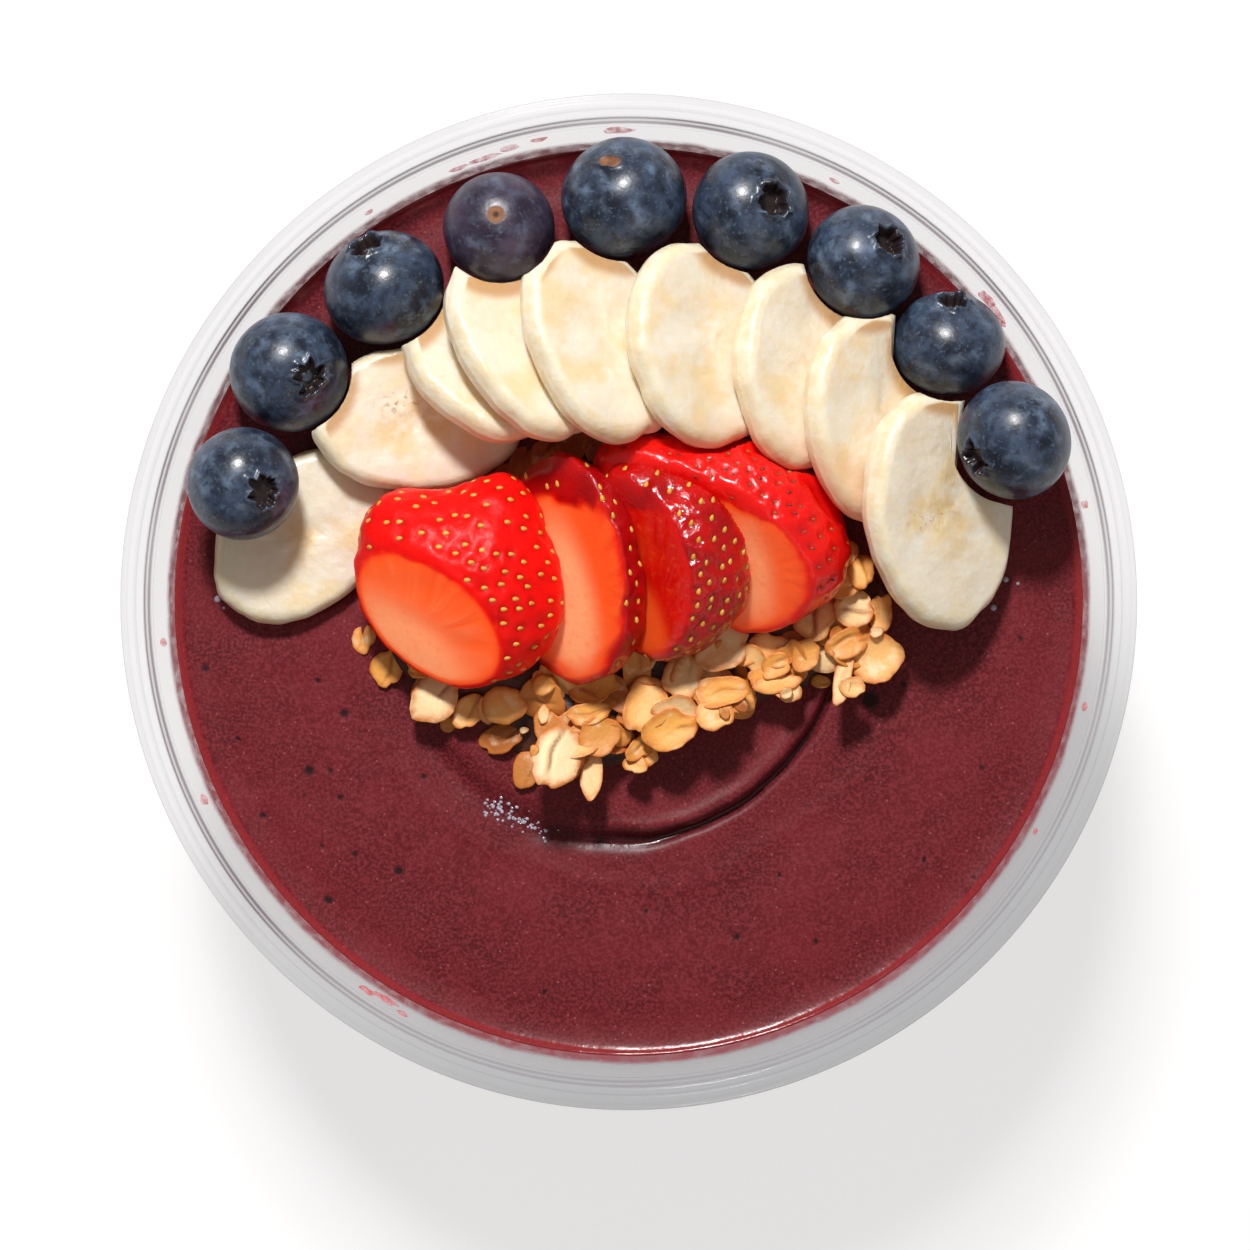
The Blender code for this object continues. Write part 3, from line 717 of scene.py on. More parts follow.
def banana_look():
    look = Look("banana_flesh", roughness=0.34, Subsurface_Weight=0.35, Coat_Weight=0.2, Coat_Roughness=0.1)
    look.put("Subsurface Radius", (1.0, 0.7, 0.4))
    look.put("Subsurface Scale", 0.004)
    flesh = look.mix(look.patches(6, 3, 0.3, 0.7), srgb(253, 242, 226), srgb(249, 235, 214))
    flesh = look.mix(look.times(look.patches(1.3, 4, 0.35, 0.7), 0.3), flesh, srgb(243, 222, 184))
    flesh = look.mix(look.patches(7, 3, 0.48, 0.68, 0.0, 0.75), flesh, srgb(248, 220, 168))
    heart = look.times(look.value("heart"), look.patches(2.2, 4, 0.35, 0.62))
    flesh = look.mix(look.times(heart, 0.75), flesh, srgb(234, 200, 138))
    marks = look.times(look.value("marks"), look.band(look.noise(1.5, 5, distortion=1.5), 0.54, 0.66))
    flesh = look.mix(look.times(marks, 0.75), flesh, srgb(166, 112, 58))
    side = look.mix(look.patches(2.4, 4, 0.35, 0.65), srgb(251, 238, 214), srgb(245, 226, 190))
    flesh = look.mix(look.value("side"), flesh, side)
    flesh = look.mix(look.value("stain"), flesh, srgb(236, 178, 122))
    # painted shadow that the berries cast on the slices' tops
    look.colour(look.mix(look.band(look.value("shade"), 0.1, 1.0, 0.0, 0.8), flesh, srgb(204, 150, 88)))
    look.bump(look.plus(look.noise(0.8, 4), look.times(look.noise(2.6, 2), 0.8)), 0.2, 0.6)
    return look.material


def slice_steps(inner, half):
    """Shares of the reach and heights, from the middle of the top to that of the underside."""
    bevel = []
    for i in range(7):
        turn = pi / 2 * i / 6
        bevel.append((inner + (1 - inner) * sin(turn), half - SLICE_EDGE * (1 - cos(turn))))
    side = half - SLICE_EDGE
    steps = [(i / SLICE_TOPS * inner, half) for i in range(SLICE_TOPS)] + bevel
    steps += [(1.0 + 0.008 * sin(pi * i / 8), side - 2 * side * i / 8) for i in range(1, 8)]
    steps += [(share, -height) for share, height in reversed(bevel)]
    return steps + [(inner * (1 - i / 6), -half) for i in range(1, 7)]


def slice_values(number, core, share, arms, seen, on_top, on_side):
    """How far each colour shows at a point of a slice."""
    brown_x, brown_y = BROWN_CORES.get(number, FAR_AWAY)
    # painted shadow: darker a little below each berry beside the slice
    shade = max(
        1 - smooth(b[2] / 2 - 0.2, b[2] / 2 + 2.6, hypot(seen.x - b[0] - 0.2, seen.y - b[1] + 1.4))
        for b in BERRIES[1:8]
    )
    stain = 0.05 * (1 - smooth(50.5, 54.5, seen.z)) * (0.5 + 0.5 * rough(seen.x, seen.y, seen.z, 3))
    if 2 < number < 9:
        # the red of the strawberries
        stain += 0.5 * (1 - smooth(22.5, 28.5, seen.y + 0.32 * max(0.0, seen.x - 18)))
    return {
        "heart": core * bell(share, 0.2 + 0.3 * arms) if on_top else 0.0,
        "marks": bell(hypot(seen.x - brown_x, (seen.y - brown_y) * 1.5), 2.9) if on_top else 0.0,
        "shade": shade if on_top else 0.0,
        "side": 1.0 if on_side else smooth(0.8, 1.0, share) * 0.5,
        "stain": stain,
    }


def make_bananas():
    look = banana_look()
    half = BANANA_THICKNESS / 2
    for number, (mid_x, mid_y, half_length, seen_width, along, lean, core) in enumerate(BANANAS, start=1):
        tilt, turned, middle = lie_of(f"banana_{number}", mid_x, mid_y, along, lean)
        half_width = (seen_width - half * sin(radians(tilt))) / cos(radians(tilt))
        berries = BERRIES if number > 1 else ()
        shell = Shell()
        for index, (share, height) in enumerate(slice_steps(1 - SLICE_EDGE / half_length, half)):
            on_top = index <= SLICE_TOPS
            on_side = SLICE_TOPS < index < SLICE_TOPS + SLICE_SIDES
            for angle in shell.ring(144 if share > 0.001 else 1):
                east = cos(angle)
                north = sin(angle)
                swell = 0.975 + 0.014 * cos(3 * angle + number)
                swell += 0.032 * rough(east * 9, north * 9, number * 5, 5)
                swell += 0.026 * rough(east * 9, north * 9, number * 5 + height * 0.4, 2.2)
                if mid_y > UPPER_SLICES:
                    swell += NEAR_END_SWELL * max(0.0, -east) * abs(sin(2 * angle))
                if on_side:
                    swell += 0.003 * rough(east * 40, north * 40, height, 4, number)
                x = half_length * share * swell * east
                y = half_width * share * swell * north
                z = height
                arms = 0.5 + 0.5 * cos(3 * angle + number * 0.9)
                if on_top:
                    relief = 0.1 - 0.32 * bell(share, 0.16 + 0.3 * arms)
                    relief += 0.3 * rough(x, y, number * 7, 5.0) + 0.07 * rough(x, y, number, 1.3)
                    z += relief * (1 - share ** 4)
                point = Vector((x, y, z))
                seen = middle + turned @ point
                while any(hypot(seen.x - b[0], seen.y - b[1]) < b[2] / 2 + BERRY_ROOM for b in berries):
                    point = Vector((point.x * 0.99, point.y * 0.99, z))
                    seen = middle + turned @ point
                shell.add(point, **slice_values(number, core, share, arms, seen, on_top, on_side))
        place = turned.to_4x4()
        place.translation = middle * MM
        piece = shell.build(f"banana_slice_{number}", look, place)
        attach(piece, "root")
        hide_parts(f"banana_{number}")


# The strawberry pieces: middle, half length, half width, half height, direction of the length,
# a point of the cut face, the way that the face looks and its slope
STRAWBERRIES = (
    ((-24.7, 1.2, 61.6), 15.8, 14.2, 10.5, 0, (-23.3, 0.4, 71.2), 228, 44),
    ((-8.5, 5.2, 62.1), 17.4, 12.0, 11.5, 100, (-0.5, 5.9, 71.0), 190, 42),
    ((7.0, 6.6, 61.8), 15.8, 11.4, 11.5, 75, (8.6, 4.7, 72.8), 197, 46),
    ((14.9, 10.6, 61.2), 18.9, 14.4, 10.5, -14, (21.6, 10.2, 69.8), 235, 36),
)
# Each face's pale heart: its middle and direction as seen, its half length and half width, and
# how pale it is; then how pale the rest of the face is and how deep the red of the skin is
HEARTS = (
    ((-33.0, -6.5), 322, 12.0, 4.6, 0.80, 0.56, 0.10),
    ((-9.2, 0.4), 282, 13.5, 4.4, 0.95, 0.42, 0.95),
    ((3.0, -4.5), 285, 7.0, 2.4, 0.45, 0.05, 0.75),
    ((18.0, 4.5), 282, 8.5, 3.2, 0.80, 0.50, 0.05),
)
# Where a piece reaches further than an egg does: direction from its middle, width and reach
BULGES = (
    ((130, 26, 3.8), (66, 24, 4.6)),
    ((125, 20, 1.2), (250, 20, 0.8)),
    ((128, 24, 4.4), (-35, 25, 1.0)),
    ((146, 18, 4.6), (-79, 22, 1.0), (5, 25, -1.2)),
)
# Where each face gives way to skin, although it lies on the cut: a point and the way to the skin
FACE_ENDS = (
    ((-24.6, 3.8), 68), ((-11.5, 15.4), 78), ((1.5, 13.6), 84), ((17.5, 13.4), 70),
)
# Roughness, share of wet coat, and how lumpy the wet skin is
WETNESS = ((0.4, 0.04, 0.3), (0.36, 0.3, 0.7), (0.24, 0.5, 1.0), (0.28, 0.55, 0.9))
# Painted light: how strongly each piece glows, most on its cut face, standing in for light through its flesh
GLOW = (0.42, 0.14, 0.02, 0.22)
# Seeds: their spacing, half length, how dark they are, and how deep the dimples are
SEEDS = ((2.9, 0.6, 0.08, 0.36), (3.1, 0.6, 0.12, 0.42), (3.2, 0.6, 0.2, 0.5), (2.4, 0.42, 0.8, 0.55))
SKIN_ROOM = 0.12  # how far the skin stays inside the solid's
PIECE_REACH = 13.0  # about how far a piece's skin lies from its middle


def face_normal(looks, slope):
    return compass(looks) * sin(radians(slope)) + Vector((0, 0, cos(radians(slope))))


class Berry:
    """One strawberry piece as a distance in any direction from a point inside it."""

    SHARPNESS = 26

    def __init__(self, number):
        self.number = number
        place, length, width, height, along, on_face, looks, slope = STRAWBERRIES[number]
        self.middle = Vector(place)
        self.halves = (length, width, height)
        self.axes = (compass(along), compass(along + 90), UP)
        self.normal = face_normal(looks, slope)
        self.planes = [(self.normal, self.normal.dot(Vector(on_face))), (-UP, -STRAWBERRY_BOTTOM)]
        for later in STRAWBERRIES[number + 1:]:
            # this piece lies on the later one's cut face
            normal = face_normal(later[6], later[7])
            self.planes.append((-normal, -normal.dot(Vector(later[5])) - 0.3))
        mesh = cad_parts[f"strawberry_{number + 1}"].data
        spots = numpy.array([vert.co[:] for vert in mesh.vertices]) / MM
        self.heart = Vector((spots.max(axis=0) + spots.min(axis=0)) / 2)
        for i in range(300):
            # moved little by little until it lies well below each cut
            for normal, level in self.planes:
                lack = 2.6 - (level - normal.dot(self.heart))
                self.heart = self.heart - normal * max(0.0, lack) * 0.4
            self.heart += (self.middle - self.heart) * 0.01
        self.blockers = tree_over(("banana_5", "banana_6", "banana_7", "banana_8")) if number == 3 else None

    def reach(self, way):
        """Distance to the surface in a unit direction, and the shares of cut face and skin in it."""
        start = self.heart - self.middle
        a = b = 0.0
        c = -1.0
        for axis, half in zip(self.axes, self.halves):
            step = way.dot(axis) / half
            offset = start.dot(axis) / half
            a += step * step
            b += 2 * step * offset
            c += offset * offset
        skin = ((-b + sqrt(max(0.0, b * b - 4 * a * c))) / (2 * a)) ** -self.SHARPNESS
        total = skin
        face = 0.0
        for i, (normal, level) in enumerate(self.planes):
            slope = way.dot(normal)
            if slope > 0.001:
                term = max(0.05, (level - normal.dot(self.heart)) / slope) ** -self.SHARPNESS
                total += term
                if i == 0:
                    face = term
        if self.blockers is not None:
            hit = self.blockers.ray_cast(self.heart * MM, way)
            if hit[0] is not None:
                total += max(0.05, hit[3] / MM - 0.35) ** -self.SHARPNESS
        return total ** (-1 / self.SHARPNESS), face / total, skin / total

    def surface(self, way):
        """The point of the surface in a direction, and the shares of the cut face and the skin."""
        distance, face, skin = self.reach(way)
        spot = self.heart + way * distance
        off = Vector((spot.x - self.middle.x, spot.y - self.middle.y, 0))
        share = min(1.0, off.length / self.halves[1])
        angle = degrees(atan2(off.y, off.x))
        for direction, width, amount in BULGES[self.number]:
            away = (angle - direction + 180) % 360 - 180
            spot += off.normalized() * amount * share * share * bell(away, width)
        return spot, face, skin


def strawberry_look(number, roughness, coat):
    name = f"strawberry_{number + 1}_skin"
    look = Look(name, roughness=roughness, Subsurface_Weight=0.55, Coat_Weight=coat, Coat_Roughness=0.05)
    look.put("Specular IOR Level", 0.14 + 0.3 * coat)
    look.put("Subsurface Radius", (1.0, 0.22, 0.1))
    look.put("Subsurface Scale", 0.005)
    cut = look.value("cut")
    pale = look.value("pale")
    skin = look.mix(look.value("deep"), srgb(255, 20, 14), srgb(160, 4, 10))
    skin = look.mix(look.patches(4, 3, 0.4, 0.75, 0, 0.4), skin, srgb(214, 6, 10))
    # painted shade: darker red in the seeds' dimples
    skin = look.mix(look.value("dimple"), skin, srgb(176, 6, 10))
    face = look.mix(look.band(pale, 0.0, 0.5), srgb(222, 14, 4), srgb(255, 92, 34))
    face = look.mix(look.band(pale, 0.45, 1.0), face, srgb(255, 172, 122))
    face = look.mix(look.patches(1.1, 3, 0.5, 0.8, 0, 0.3), face, srgb(255, 96, 40))
    look.colour(look.mix(cut, skin, face))
    # painted light: the flesh glows, most on the cut face
    look.glow(look.mix(cut, srgb(90, 0, 0), face), GLOW[number])
    fine = look.plus(look.noise(0.9), look.times(look.value("fibre"), 0.8))
    lumps = look.times(look.noise(1.7, 4, distortion=0.8), look.value("wet"))
    look.bump(look.plus(fine, look.times(lumps, 3.0)), 0.16, 0.6)
    return look.material


def seed_look():
    look = Look("strawberry_seed", roughness=0.35)
    pale = look.mix(look.noise(0.6), srgb(250, 206, 84), srgb(236, 168, 50))
    look.colour(look.mix(look.value("tone"), pale, srgb(128, 30, 18)))
    return look.material


def spiral_ways(spacing, reach):
    """Directions spread evenly over the ball, about the given spacing apart at that reach."""
    count = int(4 * pi * reach * reach / (spacing * spacing * 0.87))
    ways = []
    for i in range(count):
        up = 1 - (2 * i + 1) / count
        angle = i * pi * (3 - sqrt(5))
        level = sqrt(1 - up * up)
        ways.append(Vector((level * cos(angle), level * sin(angle), up)))
    return ways


def face_fibres(spot, number):
    """How pale a cut face is at a point, its fibres, and the lift of its relief."""
    (heart_x, heart_y), heart_turn, heart_long, heart_wide, heart_pale, rest_pale, deep = HEARTS[number]
    off = Vector((spot.x - heart_x, spot.y - heart_y, 0))
    along = off.dot(compass(heart_turn))
    across = off.dot(compass(heart_turn + 90))
    share = hypot(along / heart_long, across / heart_wide)
    turn = atan2(across, along + 0.001)
    fibre = rough(cos(turn) * 7, sin(turn) * 7, off.length * 0.12, 1.0, number)
    fibre += 0.7 * rough(cos(turn) * 19, sin(turn) * 19, off.length * 0.2, 1.0, number)
    fibre *= smooth(0.8, 2.2, share)
    pale = rest_pale + (heart_pale - rest_pale) * (1 - smooth(0.35, 1.5, share + 0.25 * fibre))
    pale = (pale + 0.14 * fibre) * (1 - 0.55 * smooth(1.2, 3.6, share))
    lift = 0.12 * fibre * smooth(0.8, 1.6, share) - 0.2 * (1 - smooth(0.5, 1.4, share))
    return max(0.0, min(1.0, pale)), fibre, lift + 0.25 * rough(spot.x, spot.y, spot.z, 5, number)


def add_seed(shell, berry, centre, normal, half, tone):
    """A drop-shaped seed on the skin, its length along the piece's."""
    long_way = berry.axes[0] - normal * normal.dot(berry.axes[0])
    if long_way.length < 0.2:
        long_way = berry.axes[1] - normal * normal.dot(berry.axes[1])
    long_way.normalize()
    side_way = normal.cross(long_way) * 0.62
    for share, rise in ((0.0, 0.26), (0.45, 0.22), (0.8, 0.12), (1.0, -0.14)):
        for angle in shell.ring(12 if share else 1):
            taper = 1 - 0.25 * cos(angle)
            spot = long_way * share * cos(angle) + side_way * share * taper * sin(angle)
            shell.add(centre + (spot + normal * rise * 1.6) * half, tone=tone)
    shell.close()


def make_strawberries():
    dice = random.Random(4)
    rows = 100
    sides = 168
    seeds = Shell()
    for number in range(len(STRAWBERRIES)):
        berry = Berry(number)
        roughness, coat, lumpy = WETNESS[number]
        across = UP.cross(berry.normal).normalized()
        along = berry.normal.cross(across)
        spacing, seed_half, seed_tone, dimple_depth = SEEDS[number]
        (end_x, end_y), end_turn = FACE_ENDS[number]
        end_point = Vector((end_x, end_y, 0))
        end_way = compass(end_turn)
        deep = HEARTS[number][6]
        places = []
        for way in spiral_ways(spacing, PIECE_REACH):
            way += Vector([dice.uniform(-0.05, 0.05) for i in range(3)])
            spot, face, skin = berry.surface(way.normalized())
            if skin > 0.9 or (face > 0.8 and (spot - end_point).dot(end_way) > 0.6):
                places.append(spot)
        dents = kdtree.KDTree(len(places))
        for i, spot in enumerate(places):
            dents.insert(spot, i)
        dents.balance()
        shell = Shell()
        for row in range(rows + 1):
            polar = pi * row / rows
            for angle in shell.ring(sides if 0 < row < rows else 1):
                way = berry.normal * cos(polar) + (across * cos(angle) + along * sin(angle)) * sin(polar)
                spot, face, skin = berry.surface(way)
                x, y, z = spot
                away = dents.find(spot)[2]
                beyond = (spot - end_point).dot(end_way) + 0.8 * rough(x, y, 0, 2.2, number)
                beyond = smooth(-1.0, 0.8, beyond)
                dimple = bell(away, seed_half * 1.5) * max(skin, beyond * face)
                lift = 0.4 * skin * rough(x, y, z, 3.0, number) + 0.1 * skin * rough(x, y, z, 1.2, number)
                face *= 1 - beyond
                pale, fibre, face_lift = face_fibres(spot, number)
                lift += face * face_lift - dimple_depth * dimple - SKIN_ROOM
                mottle = 0.35 * rough(x, y, z, 4.5, number + 9)
                low = 0.4 * (1 - smooth(58, 66, z)) * (1 - 0.5 * seed_tone)
                shell.add(
                    spot + way * lift,
                    cut=smooth(0.3, 0.6, face),
                    pale=pale * smooth(0.45, 1.0, face),
                    deep=max(0.0, min(1.0, deep + mottle + low)),
                    dimple=0.55 * dimple,
                    fibre=fibre * face,
                    wet=lumpy * smooth(62, 68, z) * (1 - 0.7 * face),
                )
        piece = shell.build(f"strawberry_piece_{number + 1}", strawberry_look(number, roughness, coat))
        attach(piece, "root")
        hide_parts(f"strawberry_{number + 1}")
        tree = BVHTree.FromObject(piece, bpy.context.evaluated_depsgraph_get())
        sunk = 0.02 if seed_tone < 0.5 else 0.07
        for spot in places:
            hit, normal, index, away = tree.find_nearest(spot * MM)
            tone = seed_tone + dice.uniform(-0.05, 0.25)
            add_seed(seeds, berry, hit / MM - normal * sunk, normal, seed_half, tone)
    scattered = seeds.build("strawberry_seeds", seed_look())
    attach(scattered, "root")


# The granola

# Flakes seen one by one: x, y, half length, half width, direction of the length, and tone from
# pale at 0 through gold to brown at 1
FLAKES = (
    (-39.5, -5.5, 2.4, 1.8, 80, 0.2), (-36.0, -9.8, 3.0, 2.5, 70, 0.15), (-28.6, -13.8, 4.3, 3.2, 60, 0.1),
    (-26.8, -18.3, 1.4, 1.2, 0, 0.3), (-23.7, -16.3, 2.9, 2.2, 50, 0.3), (-18.4, -15.1, 3.5, 2.8, 0, 0.35),
    (-12.5, -12.3, 1.9, 1.6, 20, 0.5), (-5.0, -12.6, 4.2, 2.4, 10, 0.4), (-19.1, -20.4, 3.4, 2.3, 20, 0.7),
    (-15.0, -25.0, 2.9, 2.2, 70, 0.55), (-10.4, -22.8, 5.0, 3.7, 70, 0.0), (-4.4, -19.9, 3.2, 2.8, 20, 0.65),
    (-5.4, -25.6, 3.7, 1.6, 80, 0.2), (-6.1, -16.6, 3.3, 1.8, 10, 0.5), (-12.6, -16.6, 1.5, 0.9, 80, 0.2),
    (0.9, -24.1, 1.9, 1.3, 0, 0.3), (2.3, -15.5, 4.4, 3.3, 70, 0.35), (7.9, -11.2, 3.7, 2.9, 70, 0.2),
    (13.8, -6.5, 4.4, 3.7, 20, 0.15), (13.5, -13.2, 4.4, 2.2, 10, 0.5), (12.6, -16.6, 3.1, 2.4, 10, 0.3),
    (12.6, -19.9, 2.2, 2.0, 0, 0.2), (6.2, -18.8, 4.4, 2.9, 20, 0.45), (21.6, -9.5, 2.4, 1.8, 30, 0.5),
    (21.9, -12.1, 3.7, 1.5, 5, 0.35), (26.1, -8.0, 2.7, 2.0, 60, 0.6), (27.6, -2.3, 3.7, 3.3, 80, 0.25),
    (33.4, -1.1, 2.9, 2.9, 0, 0.15), (31.9, 2.6, 2.6, 2.2, 0, 0.35), (37.3, -1.7, 2.9, 1.8, 80, 0.45),
    (32.2, -6.2, 3.3, 2.1, 20, 0.6), (36.6, -8.3, 4.4, 3.7, 20, 0.3), (31.6, -11.5, 4.0, 1.5, 75, 0.2),
    (28.5, -11.8, 1.5, 1.1, 0, 0.4), (33.0, -12.6, 2.0, 1.5, 0, 0.25), (-30.5, -9.5, 2.2, 1.8, 0, 0.4),
)

# Flakes half hidden between the strawberries and the bananas; the first six have brown tones as painted
# shade
BACK_FLAKES = (
    (-12.0, 22.3, 3.0, 2.2, 30, 0.9), (-8.2, 23.6, 3.1, 2.3, 80, 0.85), (-4.6, 22.6, 2.8, 2.1, 120, 0.95),
    (-15.6, 20.6, 2.9, 2.1, 60, 0.8), (-10.4, 20.2, 2.8, 2.2, 0, 0.9), (-18.8, 18.4, 2.7, 2.0, 20, 0.9),
    (31.6, 7.0, 2.6, 2.0, 60, 0.35), (34.4, 4.4, 2.6, 2.0, 100, 0.4), (30.2, 10.2, 2.4, 1.8, 80, 0.5),
)
# A flake's edge: shares of its reach, and of its half thickness, from the top to the underside
FLAKE_EDGE = [(0.96, 0.95), (0.99, 0.7), (1.0, 0.2), (0.99, -0.6), (0.93, -0.95), (0.45, -1.0), (0.0, -1.0)]
HIGHEST_FLAKE = 61.5
NOTHING_ABOVE = 99.0
BED_FLAKES = 73
BED_TRIES = 700
CRUMBS = 16
CORE_BOTTOM = 48.2


def mound_reach(angle):
    """The granola's outline: an oval with a lobe to the front and a small one to the back."""
    reach = 1 / hypot(cos(angle) / MOUND_HALF_LENGTH, sin(angle) / MOUND_HALF_WIDTH)
    for lobe, direction, width in MOUND_LOBES:
        off = (degrees(angle) - direction + 180) % 360 - 180
        reach += lobe * bell(off, width)
    return reach * (1 + 0.03 * cos(5 * angle + 0.6) + 0.02 * cos(9 * angle))


def on_mound(angle, reach):
    return MOUND_MIDDLE[0] + reach * cos(angle), MOUND_MIDDLE[1] + reach * sin(angle)


def mound_height(x, y):
    x -= MOUND_MIDDLE[0]
    y -= MOUND_MIDDLE[1]
    share = hypot(x, y) / mound_reach(atan2(y, x))
    fall = max(0.0, (share - 0.62) / 0.38)
    return MOUND_TOP - (MOUND_TOP - MOUND_EDGE) * fall ** 1.5, share


def granola_look(name, dark):
    look = Look(name, roughness=0.5, Subsurface_Weight=0.0 if dark else 0.05)
    look.put("Subsurface Scale", 0.0015)
    if dark:
        # the core's dark colour is painted shade between the flakes
        colour = look.mix(look.patches(2.5, 3, 0.3, 0.7), srgb(96, 50, 32), srgb(58, 26, 20))
    else:
        tone = look.value("tone")
        colour = look.mix(look.band(tone, 0.0, 0.45), srgb(255, 226, 176), srgb(250, 178, 84))
        colour = look.mix(look.band(tone, 0.4, 1.0), colour, srgb(172, 92, 38))
        colour = look.mix(look.patches(3.2, 3, 0.5, 0.75, 0.0, 0.5), colour, srgb(230, 146, 62))
        colour = look.mix(look.patches(2.2, 3, 0.54, 0.74, 0.0, 0.5), colour, srgb(255, 234, 194))
        # painted shade: darker brown in each flake's fold
        colour = look.mix(look.value("crease"), colour, srgb(150, 78, 34))
        edge = look.times(look.value("rim"), look.patches(1.6, 3, 0.3, 0.6, 0.35, 1.0))
        colour = look.mix(edge, colour, srgb(212, 122, 48))
    look.colour(colour)
    look.bump(look.plus(look.noise(0.5, 4), look.noise(1.7)), 0.14, 0.6)
    return look.material


def make_core():
    """The granola's core, which only shows between the flakes; its dark colour is painted shade."""
    shell = Shell()
    rows = 62
    levels = [(0.0, CORE_BOTTOM), (0.5, CORE_BOTTOM), (0.97, CORE_BOTTOM)]
    levels += [(0.985 * (1 - step / rows), None) for step in range(rows)] + [(0.0, MOUND_TOP - 0.8)]
    for share, level in levels:
        for angle in shell.ring(220 if share else 1):
            x, y = on_mound(angle, mound_reach(angle) * share)
            lump = 0.45 * rough(x, y, 0, 2.6) + 0.25 * rough(x, y, 0, 1.1)
            shell.add((x, y, mound_height(x, y)[0] - 0.75 + lump if level is None else level))
    core = shell.build("granola_core_painted_shade", granola_look("granola_core_painted_shade", True))
    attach(core, "root")
    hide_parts("granola")


